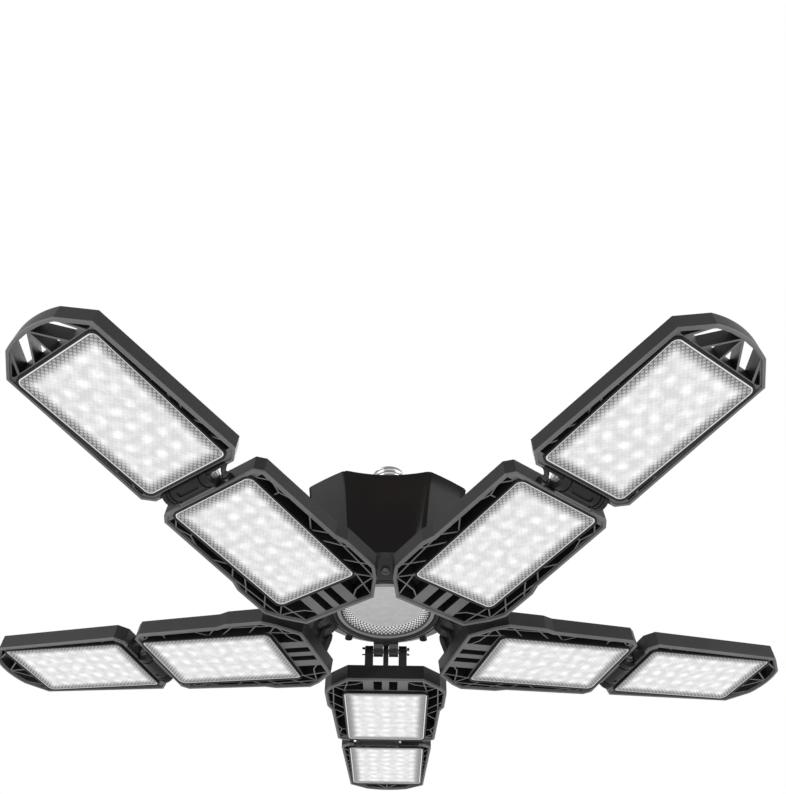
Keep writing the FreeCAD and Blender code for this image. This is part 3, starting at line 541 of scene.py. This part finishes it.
def rimmed_plate(bm, centre, length, width, corner, thickness, rim, recess):
    """A plate with round corners whose lower face, at centre.z, is recessed inside a rim."""
    place = Matrix.Translation(centre) @ Matrix.Diagonal((length, width, 1.0, 1.0))
    made = bmesh.ops.create_grid(bm, x_segments=1, y_segments=1, size=0.5, matrix=place)
    bmesh.ops.bevel(bm, geom=made["verts"], offset=corner, offset_type="OFFSET", affect="VERTICES",
                    segments=CORNER_STEPS, profile=0.5, material=-1)
    grown = bmesh.ops.extrude_face_region(bm, geom=bm.faces[:])
    raised = [v for v in grown["geom"] if isinstance(v, bmesh.types.BMVert)]
    bmesh.ops.translate(bm, verts=raised, vec=(0.0, 0.0, thickness))
    bmesh.ops.recalc_face_normals(bm, faces=bm.faces[:])
    lower = min(bm.faces, key=lambda face: face.calc_center_median().z)
    softened = lower.edges[:]
    bmesh.ops.inset_region(bm, faces=[lower], thickness=rim, use_even_offset=True)
    bmesh.ops.inset_region(bm, faces=[lower], thickness=recess / 2, depth=-recess, use_even_offset=True)
    bmesh.ops.bevel(bm, geom=softened, offset=rim / 3, offset_type="OFFSET", affect="EDGES", segments=2,
                    profile=0.5, material=-1)


def prism_sheet(centre, length, width, pitch, height, root):
    """A slab of small pyramids in a diamond lattice that point down. Its flat top lies at the
    height called root over its centre."""
    bm = bmesh.new()
    reach = (length + width) / math.sqrt(2.0)
    count = int(math.ceil(reach / pitch / 2.0)) * 2
    place = Matrix.Translation(centre) @ Matrix.Rotation(math.radians(45.0), 4, "Z")
    bmesh.ops.create_grid(bm, x_segments=count, y_segments=count, size=count * pitch / 2.0, matrix=place)
    bmesh.ops.poke(bm, faces=bm.faces[:], offset=-height, center_mode="MEAN")
    for side in (Vector((1, 0, 0)), Vector((-1, 0, 0)), Vector((0, 1, 0)), Vector((0, -1, 0))):
        reach = length / 2 if side.x else width / 2
        bmesh.ops.bisect_plane(bm, geom=bm.verts[:] + bm.edges[:] + bm.faces[:], dist=1e-6,
                               plane_co=centre + side * reach, plane_no=side, clear_outer=True)
    border = [e for e in bm.edges if e.is_boundary]
    grown = bmesh.ops.extrude_edge_only(bm, edges=border)
    raised = [v for v in grown["geom"] if isinstance(v, bmesh.types.BMVert)]
    for vert in raised:
        vert.co.z = centre.z + root
    top = [e for e in bm.edges if e.is_boundary]
    bmesh.ops.edgeloop_fill(bm, edges=top)
    bmesh.ops.recalc_face_normals(bm, faces=bm.faces[:])
    return bm


def join_into(bm, other):
    """Adds another bmesh's geometry to bm and frees it."""
    mesh = bpy.data.meshes.new("joined")
    other.to_mesh(mesh)
    other.free()
    bm.from_mesh(mesh)
    bpy.data.meshes.remove(mesh)


# ------------------------------------------------------------------ settings
class FinishSettings(bpy.types.PropertyGroup):
    panel_colour: FloatVectorProperty(
        name="Panel", description="Colour of the lamp panels' plastic", default=(0.007, 0.007, 0.0075),
        size=3, subtype="COLOR", min=0.0, max=1.0)
    # Painted highlight colour of the panels' rib tops and rims.
    rib_highlight_colour: FloatVectorProperty(
        name="Rib Tops", description="Colour of the panels' rib tops and rims", default=(0.125, 0.125, 0.125),
        size=3, subtype="COLOR", min=0.0, max=1.0)
    panel_shine: FloatProperty(
        name="Panel Shine", description="How strongly the panels' plastic reflects", default=0.21,
        min=0.0, max=1.0)
    hub_colour: FloatVectorProperty(
        name="Hub", description="Colour of the hub's glossy plastic", default=(0.0035, 0.0022, 0.0020),
        size=3, subtype="COLOR", min=0.0, max=1.0)


class LensSettings(bpy.types.PropertyGroup):
    prism_pitch: FloatProperty(
        name="Prism Pitch", description="Distance between the lens's prisms", default=0.0023,
        min=0.001, unit="LENGTH")
    prism_height: FloatProperty(
        name="Prism Height", description="How far the prisms stand out", default=0.0004,
        min=0.0001, unit="LENGTH")
    # Painted shade in the prism grooves at a lens's edge.
    groove_shade_depth: FloatProperty(
        name="Groove Depth", description="How dark the grooves are at a lens's edge", default=0.85,
        min=0.0, max=1.0)
    glow: FloatProperty(name="Glow", description="Brightness of the lit lenses", default=1.0, min=0.0)
    lens_colour: FloatVectorProperty(
        name="Lens", description="Colour of the lens plastic", default=(0.20, 0.20, 0.205), size=3,
        subtype="COLOR", min=0.0, max=1.0)


class DishSettings(bpy.types.PropertyGroup):
    disc_radius: FloatProperty(
        name="Disc Radius", description="Radius of the centre lens's smooth disc", default=0.0260,
        unit="LENGTH")
    lip_width: FloatProperty(
        name="Lip Width", description="Width of the clear ring around the centre lens", default=0.0028,
        unit="LENGTH")
    depth: FloatProperty(
        name="Depth", description="How far the centre lens's disc lies above its lip", default=0.0042,
        unit="LENGTH")
    rows: IntProperty(name="Rows", description="Rows of dots up the centre lens's wall", default=5, min=1)
    dots: IntProperty(name="Dots", description="Dots in each row", default=60, min=3)
    dot_radius: FloatProperty(
        name="Dot Radius", description="Radius of a dot at its foot", default=0.0009, unit="LENGTH")
    dot_height: FloatProperty(
        name="Dot Height", description="How far a dot stands out of the wall", default=0.0004,
        unit="LENGTH")


class ShellSettings(bpy.types.PropertyGroup):
    crest_radius: FloatProperty(
        name="Crest Radius", description="Radius over the screw base's thread", default=0.0130,
        unit="LENGTH")
    thread_depth: FloatProperty(
        name="Thread Depth", description="Depth of the screw base's thread", default=0.0008,
        unit="LENGTH")
    pitch: FloatProperty(
        name="Pitch", description="Distance between the thread's turns", default=0.00363, unit="LENGTH")
    turns: IntProperty(name="Turns", description="Turns of the thread", default=6, min=1)


class CableSettings(bpy.types.PropertyGroup):
    radius: FloatProperty(
        name="Radius", description="Radius of the jumper cables", default=0.0016, unit="LENGTH")


class StageSettings(bpy.types.PropertyGroup):
    floor_drop: FloatProperty(
        name="Floor Drop", description="How far the floor is below the screw base", default=1.7,
        unit="LENGTH")
    floor_colour: FloatVectorProperty(
        name="Floor", description="Colour of the floor", default=(0.8, 0.8, 0.8), size=3,
        subtype="COLOR", min=0.0, max=1.0)
    floor_glow: FloatProperty(
        name="Floor Glow", description="Light that the floor gives back", default=0.5, min=0.0)
    fill_level: FloatProperty(
        name="Fill", description="Even light from all round", default=0.35, min=0.0)


# ------------------------------------------------------------------ operators
class LIGHT_OT_stage(bpy.types.Operator):
    """Adds the camera, the soft lamps, the white surroundings and the floor"""
    bl_idname = "ceiling_light.stage"
    bl_label = "Stage"

    def execute(self, context):
        settings = context.scene.light_stage
        self.add_camera(context)
        self.add_world(context, settings)
        self.add_floor(settings)
        self.add_lamps(context)
        context.scene.view_settings.view_transform = "Standard"
        return {"FINISHED"}

    def add_camera(self, context):
        forward = Vector((math.sin(CAMERA_YAW) * math.cos(CAMERA_PITCH),
                          math.cos(CAMERA_YAW) * math.cos(CAMERA_PITCH), math.sin(CAMERA_PITCH)))
        level = forward.cross(Vector((0, 0, 1))).normalized()
        upright = level.cross(forward)
        right = level * math.cos(CAMERA_ROLL) + upright * math.sin(CAMERA_ROLL)
        up = upright * math.cos(CAMERA_ROLL) - level * math.sin(CAMERA_ROLL)
        data = bpy.data.cameras.new("camera")
        data.lens = CAMERA_LENS
        data.sensor_width = 36.0
        data.sensor_fit = "AUTO"
        data.clip_start = 0.01
        data.clip_end = 100.0
        camera = bpy.data.objects.new("camera", data)
        turn = Matrix((right, up, -forward)).transposed()
        camera.matrix_world = Matrix.Translation(CAMERA_PLACE) @ turn.to_4x4()
        context.scene.collection.objects.link(camera)
        context.scene.camera = camera

    def add_world(self, context, settings):
        world = bpy.data.worlds.new("white room")
        world.use_nodes = True
        context.scene.world = world
        tree = world.node_tree
        tree.nodes.clear()
        path = tree.nodes.new("ShaderNodeLightPath")
        seen = calculate(tree, "MAXIMUM", path.outputs["Is Camera Ray"], path.outputs["Is Glossy Ray"])
        seen = calculate(tree, "MAXIMUM", seen, path.outputs["Is Transmission Ray"])
        fill = add_node(tree, "ShaderNodeBackground", {"Color": WHITE, "Strength": settings.fill_level})
        white = add_node(tree, "ShaderNodeBackground", {"Color": WHITE, "Strength": 1.0})
        mix = add_node(tree, "ShaderNodeMixShader",
                       {0: seen, 1: fill.outputs[0], 2: white.outputs[0]})
        out = tree.nodes.new("ShaderNodeOutputWorld")
        tree.links.new(mix.outputs[0], out.inputs["Surface"])

    def add_floor(self, settings):
        bm = bmesh.new()
        bmesh.ops.create_circle(bm, cap_ends=True, segments=96, radius=FLOOR_RADIUS,
                                matrix=Matrix.Translation((0.0, 0.0, -settings.floor_drop)))
        colour = opaque(settings.floor_colour)
        material = plastic_finish("floor", colour, opaque(settings.floor_colour, 0.97), roughness=0.8,
                                  grain_size=0.01, bump=0.0001, specular=0.2)
        shader = material.node_tree.nodes["Principled BSDF"]
        shader.inputs["Emission Color"].default_value = colour
        shader.inputs["Emission Strength"].default_value = settings.floor_glow
        floor = new_piece("floor", bm, material)

    def add_lamps(self, context):
        for name, place, size, power in LAMPS:
            data = bpy.data.lights.new(name, "AREA")
            data.size = size
            data.energy = power
            lamp = bpy.data.objects.new(name, data)
            aim = LAMP_TARGET - Vector(place)
            lamp.matrix_world = Matrix.Translation(place) @ aim.to_track_quat("-Z", "Y").to_matrix().to_4x4()
            context.scene.collection.objects.link(lamp)


class LIGHT_OT_panels(bpy.types.Operator):
    """Finishes the ten panel housings, their boards and their hinge screws"""
    bl_idname = "ceiling_light.panels"
    bl_label = "Panels"

    def execute(self, context):
        settings = context.scene.light_finish
        board = board_finish("white board")
        steel = metal_finish("plated steel", (0.62, 0.62, 0.63, 1.0), (0.45, 0.44, 0.43, 1.0),
                             roughness=0.28)
        for arm in ARMS:
            black = panel_finish(arm, settings)
            for panel in ("inner", "outer"):
                give("%s_housing_%s" % (panel, arm), black)
                give("%s_led_board_%s" % (panel, arm), board)
            give("root_screw_" + arm, steel)
            give("outer_screw_" + arm, steel)
        return {"FINISHED"}


class LIGHT_OT_lenses(bpy.types.Operator):
    """Adds the ten lit prismatic lenses of the panels"""
    bl_idname = "ceiling_light.lenses"
    bl_label = "Panel Lenses"

    def execute(self, context):
        settings = context.scene.light_lens
        for panel, (start, end) in LENSES.items():
            mesh = self.lens_mesh(start, end, settings)
            for arm in ARMS:
                self.add_lens(arm, panel, mesh, settings)
            mesh.free()
        return {"FINISHED"}

    def lens_mesh(self, start, end, settings):
        """A rimmed plate with a sheet of prisms whose foot is sunk a little into it."""
        bm = bmesh.new()
        centre = Vector(((start + end) / 2, 0.0, RIM))
        height = settings.prism_height
        rimmed_plate(bm, centre, end - start, 2 * LENS_HALF_WIDTH, LENS_CORNER, LENS_THICKNESS, LENS_RIM,
                     height)
        inset = LENS_RIM + height
        sunk = 0.00005
        root = 0.0003
        prisms = prism_sheet(centre + Vector((0.0, 0.0, height - sunk)), end - start - 2 * inset,
                             2 * (LENS_HALF_WIDTH - inset), settings.prism_pitch, height - sunk, root)
        join_into(bm, prisms)
        return bm

    def add_lens(self, arm, panel, shape, settings):
        bm = shape.copy()
        bm.transform(arm_matrix(arm))
        material = lens_finish("lit lens %s %s" % (panel, arm), arm, panel, settings)
        name = "%s_lens_%s" % (panel, arm)
        piece = new_piece("prism_" + name, bm, material, "%s_panel_%s" % (panel, arm))
        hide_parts(name)


class LIGHT_OT_hub(bpy.types.Operator):
    """Adds the hub's glossy shell with soft corners and finishes its base, bezel and screws"""
    bl_idname = "ceiling_light.hub"
    bl_label = "Hub"

    def execute(self, context):
        settings = context.scene.light_finish
        black = plastic_finish("glossy hub black", opaque(settings.hub_colour),
                               opaque(settings.hub_colour, DUSTY), roughness=0.14, grain_size=0.004,
                               bump=0.00002, specular=0.11)
        casting = plastic_finish("base casting grey", (0.016, 0.016, 0.017, 1.0), (0.026, 0.026, 0.027, 1.0),
                                 roughness=0.4, grain_size=0.0008, bump=0.00008, specular=0.3)
        bezel = plastic_finish("bezel black", (0.007, 0.007, 0.007, 1.0), (0.012, 0.012, 0.012, 1.0),
                               roughness=0.3, grain_size=0.001, bump=0.00002, specular=0.3)
        steel = metal_finish("black steel", (0.10, 0.10, 0.10, 1.0), (0.05, 0.05, 0.05, 1.0), roughness=0.35)
        green = plastic_finish("driver green", (0.03, 0.16, 0.06, 1.0), (0.05, 0.20, 0.08, 1.0),
                               roughness=0.5, grain_size=0.001, bump=0.00003)
        self.add_shell(black)
        give("base_collar", black)
        give("hub_base", casting)
        give("centre_bezel", bezel)
        give("hub_screws", steel)
        give("driver_board", green)
        give("centre_led_board", board_finish("centre board"))
        return {"FINISHED"}

    def add_shell(self, black):
        """The hub's shell with the upright corners of its lobes rounded."""
        bm = bmesh.new()
        bm.from_mesh(frame["nodes"]["hub_housing"].data)
        bmesh.ops.remove_doubles(bm, verts=bm.verts[:], dist=1e-6)
        bmesh.ops.dissolve_limit(bm, angle_limit=math.radians(0.5), verts=bm.verts[:], edges=bm.edges[:])
        corners = [edge for edge in bm.edges
                   if edge.is_manifold and edge.calc_length() > HUB_CORNER_LENGTH
                   and edge.calc_face_angle() > HUB_CORNER_ANGLE
                   and max(vert.co.xy.length for vert in edge.verts) > HUB_CORNER_RADIUS]
        bmesh.ops.bevel(bm, geom=corners, offset=HUB_CORNER_BEVEL, offset_type="OFFSET", affect="EDGES",
                        segments=3, profile=0.5, material=-1)
        piece = new_piece("hub_shell", bm, black, HUB_BODY)
        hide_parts("hub_housing")


class LIGHT_OT_centre_lens(bpy.types.Operator):
    """Adds the dished round lens in the middle of the hub, with rows of dots up its wall"""
    bl_idname = "ceiling_light.centre_lens"
    bl_label = "Centre Lens"

    def execute(self, context):
        settings = context.scene.light_dish
        wall = (Vector((CENTRE_LENS_RADIUS - settings.lip_width, 0.0, CENTRE_LENS_LEVEL)),
                Vector((settings.disc_radius, 0.0, CENTRE_LENS_LEVEL + settings.depth)))
        bm = self.dish(wall)
        self.add_dots(bm, wall, settings)
        finishes = [self.finish(*look, settings) for look in DISH_LOOKS]
        piece = new_piece("dished_centre_lens", bm, finishes[0], HUB_BODY)
        for finish in finishes[1:]:
            piece.data.materials.append(finish)
        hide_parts("centre_lens")
        return {"FINISHED"}

    def dish(self, wall):
        """The lens without its dots: a disc with a ring-shaped groove, a slanted wall and a lip."""
        lip = wall[0].z
        disc = wall[1].z
        radius = CENTRE_LENS_RADIUS
        plate = 0.0008
        soft = 0.0004
        groove = 0.0002
        groove_inside = 0.0056
        groove_outside = 0.0070
        bm = turned([(0.0, disc + plate), (wall[1].x + soft, disc + plate), (radius - plate, lip + 2 * plate),
                     (radius, lip + 2 * plate), (radius, lip + soft), (radius - soft, lip), (wall[0].x, lip),
                     (wall[1].x, disc), (groove_outside, disc), (groove_outside - groove, disc - groove),
                     (groove_inside + groove, disc - groove), (groove_inside, disc), (0.0, disc)], 96)
        for face in bm.faces:
            reach = face.calc_center_median().xy.length
            face.material_index = DISC if reach < wall[1].x else WALL if reach < wall[0].x else LIP
        return bm

    def finish(self, name, colour, inner_level, outer_level, settings):
        """Clear plastic whose glow changes from the disc's edge to the lip."""
        material, tree, shader = new_finish(name)
        place = object_coordinates(tree)
        grain = use_effect(tree, "grain", {"Vector": place, "Grain Size": 0.0010, "Cloud Size": 0.006})
        share = use_effect(tree, "radius", {"Vector": place, "Inner": settings.disc_radius,
                                            "Outer": CENTRE_LENS_RADIUS - settings.lip_width})
        level = ramp(tree, share.outputs["Share"], 0.0, 1.0, inner_level, outer_level)
        mottle = ramp(tree, grain.outputs["Cloud"], 0.0, 1.0, 0.85, 1.0)
        level = calculate(tree, "MULTIPLY", level, mottle)
        tree.links.new(blend_colours(tree, level, BLACK, WHITE), shader.inputs["Emission Color"])
        shader.inputs["Emission Strength"].default_value = 1.0
        tree.links.new(blend_colours(tree, grain.outputs["Cloud"], opaque(colour), opaque(colour, 0.9)),
                       shader.inputs["Base Color"])
        tree.links.new(ramp(tree, grain.outputs["Cloud"], 0.0, 1.0, 0.22, 0.30), shader.inputs["Roughness"])
        shader.inputs["Specular IOR Level"].default_value = 0.3
        set_bump(tree, shader, grain.outputs["Height"], distance=0.00002)
        return material

    def add_dots(self, bm, wall, settings):
        """Rows of blunt six-sided dots square to the wall, each row half a step on from the last."""
        slope = (wall[1] - wall[0]).normalized()
        outward = Vector((-slope.z, 0.0, slope.x))
        turn = outward.to_track_quat("Z", "Y").to_matrix().to_4x4()
        lowest = 0.2
        middle_height = 0.3 * settings.dot_height
        for row in range(settings.rows):
            share = lowest + (1.0 - lowest) * (row + 0.5) / settings.rows
            middle = wall[0].lerp(wall[1], share) + outward * middle_height
            for i in range(settings.dots):
                angle = math.tau * (i + 0.5 * (row % 2)) / settings.dots
                place = Matrix.Rotation(angle, 4, "Z") @ Matrix.Translation(middle) @ turn
                made = bmesh.ops.create_cone(bm, cap_ends=True, segments=6, radius1=settings.dot_radius,
                                             radius2=0.5 * settings.dot_radius, depth=settings.dot_height,
                                             matrix=place)
                for face in {face for vert in made["verts"] for face in vert.link_faces}:
                    face.material_index = DOTS


class LIGHT_OT_screw_base(bpy.types.Operator):
    """Adds the threaded shell of the screw base and finishes its insulator and contact"""
    bl_idname = "ceiling_light.screw_base"
    bl_label = "Screw Base"

    def execute(self, context):
        settings = context.scene.light_shell
        crest = settings.crest_radius
        # The thread's valleys get painted shade in the dark tarnish colour.
        tin = metal_finish("bright shell", (0.74, 0.74, 0.74, 1.0), (0.20, 0.20, 0.20, 1.0), roughness=0.16,
                           groove=(crest - settings.thread_depth, crest))
        piece = new_piece("threaded_shell", self.shell(settings), tin, HUB_BODY)
        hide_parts("screw_shell")
        solder = metal_finish("solder", (0.66, 0.64, 0.60, 1.0), (0.5, 0.48, 0.45, 1.0), roughness=0.35)
        insulator = plastic_finish("insulator black", (0.02, 0.02, 0.022, 1.0), (0.03, 0.03, 0.032, 1.0),
                                   roughness=0.12, grain_size=0.004, bump=0.00002)
        give("base_contact", solder)
        give("base_insulator", insulator)
        return {"FINISHED"}

    def shell(self, settings):
        """A wall whose wave climbs one pitch a turn, cut level, between two plain rings."""
        crest = settings.crest_radius
        valley = crest - settings.thread_depth
        pitch = settings.pitch
        turns = settings.turns + 1
        steps = 48
        wave_points = 8
        bm = bmesh.new()
        verts = []
        for i in range(wave_points + 1):
            share = i / wave_points
            radius = (crest + valley) / 2 - math.cos(math.tau * share) * (crest - valley) / 2
            verts.append(bm.verts.new((radius, 0.0, -pitch + pitch * share)))
        edges = [bm.edges.new(pair) for pair in zip(verts, verts[1:])]
        bmesh.ops.spin(bm, geom=verts + edges, cent=(0, 0, 0), axis=(0, 0, 1), angle=math.tau * turns,
                       steps=steps * turns, dvec=(0.0, 0.0, pitch / steps))
        bmesh.ops.remove_doubles(bm, verts=bm.verts[:], dist=1e-6)
        low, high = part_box("screw_shell")
        thread_start = low.z + 0.0012
        thread_end = high.z - 0.0024
        for level, side in ((thread_start, -1), (thread_end, 1)):
            bmesh.ops.bisect_plane(bm, geom=bm.verts[:] + bm.edges[:] + bm.faces[:], dist=1e-7,
                                   plane_co=(0, 0, level), plane_no=(0, 0, side), clear_outer=True)
        foot = low.z + 0.0004
        self.close_end(bm, thread_start, [(valley, foot), (valley - 0.0009, foot)])
        self.close_end(bm, thread_end, [(valley, high.z - 0.0012), (valley - 0.0012, high.z),
                                        (valley - 0.0020, high.z)])
        bmesh.ops.recalc_face_normals(bm, faces=bm.faces[:])
        return bm

    def close_end(self, bm, level, rings):
        """Draws the wall on from its rim at a level through rings of (radius, height)."""
        edges = [e for e in bm.edges if e.is_boundary and all(abs(v.co.z - level) < 1e-5 for v in e.verts)]
        for radius, height in rings:
            grown = bmesh.ops.extrude_edge_only(bm, edges=edges)
            edges = [e for e in grown["geom"] if isinstance(e, bmesh.types.BMEdge)]
            for vert in {v for e in edges for v in e.verts}:
                flat = Vector((vert.co.x, vert.co.y, 0.0)).normalized() * radius
                vert.co = Vector((flat.x, flat.y, height))
            edges = [e for e in edges if e.is_boundary]


class LIGHT_OT_cables(bpy.types.Operator):
    """Adds the short jumper cables across the outer hinges"""
    bl_idname = "ceiling_light.cables"
    bl_label = "Jumper Cables"

    def execute(self, context):
        settings = context.scene.light_cable
        rubber = plastic_finish("cable rubber", (0.010, 0.010, 0.010, 1.0), (0.02, 0.02, 0.02, 1.0),
                                roughness=0.5, grain_size=0.0008, bump=0.00004)
        for arm in ARMS:
            self.add_cable(context, arm, settings.radius, rubber)
        return {"FINISHED"}

    def add_cable(self, context, arm, radius, rubber):
        hand = hinge_hand(arm)
        place = arm_matrix(arm)
        route = [Vector(point) for point in (
            (GLAND_FACE + 0.00025, -0.0160 * hand, -0.0084), (GLAND_FACE + 0.0024, -0.0161 * hand, -0.0082),
            (GLAND_FACE + 0.0046, -0.0178 * hand, -0.0064), (GLAND_FACE + 0.0053, -0.0196 * hand, -0.0043),
            (INLET_FACE - 0.0008, -0.0205 * hand, -0.0036))]
        bm = self.tube(context, route, radius)
        self.add_sleeve(bm, route[0], route[1], radius, GLAND_RADIUS)
        self.add_sleeve(bm, route[-1], route[-2], radius, INLET_RADIUS)
        bmesh.ops.recalc_face_normals(bm, faces=bm.faces[:])
        bm.transform(place)
        piece = new_piece("jumper_" + arm, bm, rubber)
        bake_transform(piece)
        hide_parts("jumper_cable_" + arm)

    def tube(self, context, route, radius):
        """A round tube with closed ends along a smooth curve through a route."""
        curve = bpy.data.curves.new("cable route", "CURVE")
        curve.dimensions = "3D"
        curve.bevel_depth = radius
        curve.bevel_resolution = 4
        curve.resolution_u = 12
        curve.use_fill_caps = True
        spline = curve.splines.new("NURBS")
        spline.points.add(len(route) - 1)
        for point, co in zip(spline.points, route):
            point.co = co.to_4d()
        spline.order_u = 3
        spline.use_endpoint_u = True
        holder = bpy.data.objects.new("cable holder", curve)
        context.scene.collection.objects.link(holder)
        context.view_layer.update()
        mesh = bpy.data.meshes.new_from_object(holder.evaluated_get(context.evaluated_depsgraph_get()))
        bpy.data.objects.remove(holder)
        bm = bmesh.new()
        bm.from_mesh(mesh)
        bpy.data.meshes.remove(mesh)
        bmesh.ops.remove_doubles(bm, verts=bm.verts[:], dist=1e-7)
        return bm

    def add_sleeve(self, bm, start, towards, radius, wide):
        """A short tapered sleeve, with a groove, where the cable leaves a wall. Its three rings
        are given by how far they reach and by their two radii."""
        direction = (towards - start).normalized()
        turn = direction.to_track_quat("Z", "Y").to_matrix().to_4x4()
        rings = ((0.0, 0.0008, wide, wide * 0.94),
                 (0.0008, 0.0011, wide * 0.8, wide * 0.8),
                 (0.0011, 0.0020, wide * 0.9, radius * 1.12))
        for near, far, low, high in rings:
            place = Matrix.Translation(start + direction * (near + far) / 2) @ turn
            bmesh.ops.create_cone(bm, cap_ends=True, segments=20, radius1=low, radius2=high, depth=far - near,
                                  matrix=place)


class LIGHT_PT_sidebar(bpy.types.Panel):
    """Lists the light's pieces and their sizes and colours"""
    bl_idname = "LIGHT_PT_sidebar"
    bl_label = "Ceiling Light"
    bl_space_type = "VIEW_3D"
    bl_region_type = "UI"
    bl_category = "Ceiling Light"

    def draw(self, context):
        scene = context.scene
        for name, _, operators in SECTIONS:
            box = self.layout.box()
            settings = getattr(scene, name)
            for setting in settings.__annotations__:
                box.prop(settings, setting)
            for operator in operators:
                box.operator(operator.bl_idname)


# The sidebar's sections: where the settings are kept, their class, and their operators.
SECTIONS = (
    ("light_stage", StageSettings, (LIGHT_OT_stage,)),
    ("light_finish", FinishSettings, (LIGHT_OT_panels, LIGHT_OT_hub)),
    ("light_lens", LensSettings, (LIGHT_OT_lenses,)),
    ("light_dish", DishSettings, (LIGHT_OT_centre_lens,)),
    ("light_shell", ShellSettings, (LIGHT_OT_screw_base,)),
    ("light_cable", CableSettings, (LIGHT_OT_cables,)),
)


def classes():
    """Every class to register, each group of settings before its operators."""
    listed = []
    for _, group, operators in SECTIONS:
        listed.append(group)
        listed.extend(operators)
    return listed + [LIGHT_PT_sidebar]


def register():
    for listed in classes():
        bpy.utils.register_class(listed)
    for name, group, _ in SECTIONS:
        setattr(bpy.types.Scene, name, PointerProperty(type=group))


def unregister():
    for name, _, _ in SECTIONS:
        delattr(bpy.types.Scene, name)
    for listed in reversed(classes()):
        bpy.utils.unregister_class(listed)


def main():
    register()
    bpy.ops.ceiling_light.stage()
    bpy.ops.ceiling_light.panels()
    bpy.ops.ceiling_light.hub()
    bpy.ops.ceiling_light.lenses()
    bpy.ops.ceiling_light.centre_lens()
    bpy.ops.ceiling_light.screw_base()
    bpy.ops.ceiling_light.cables()


if __name__ == "__main__":
    main()
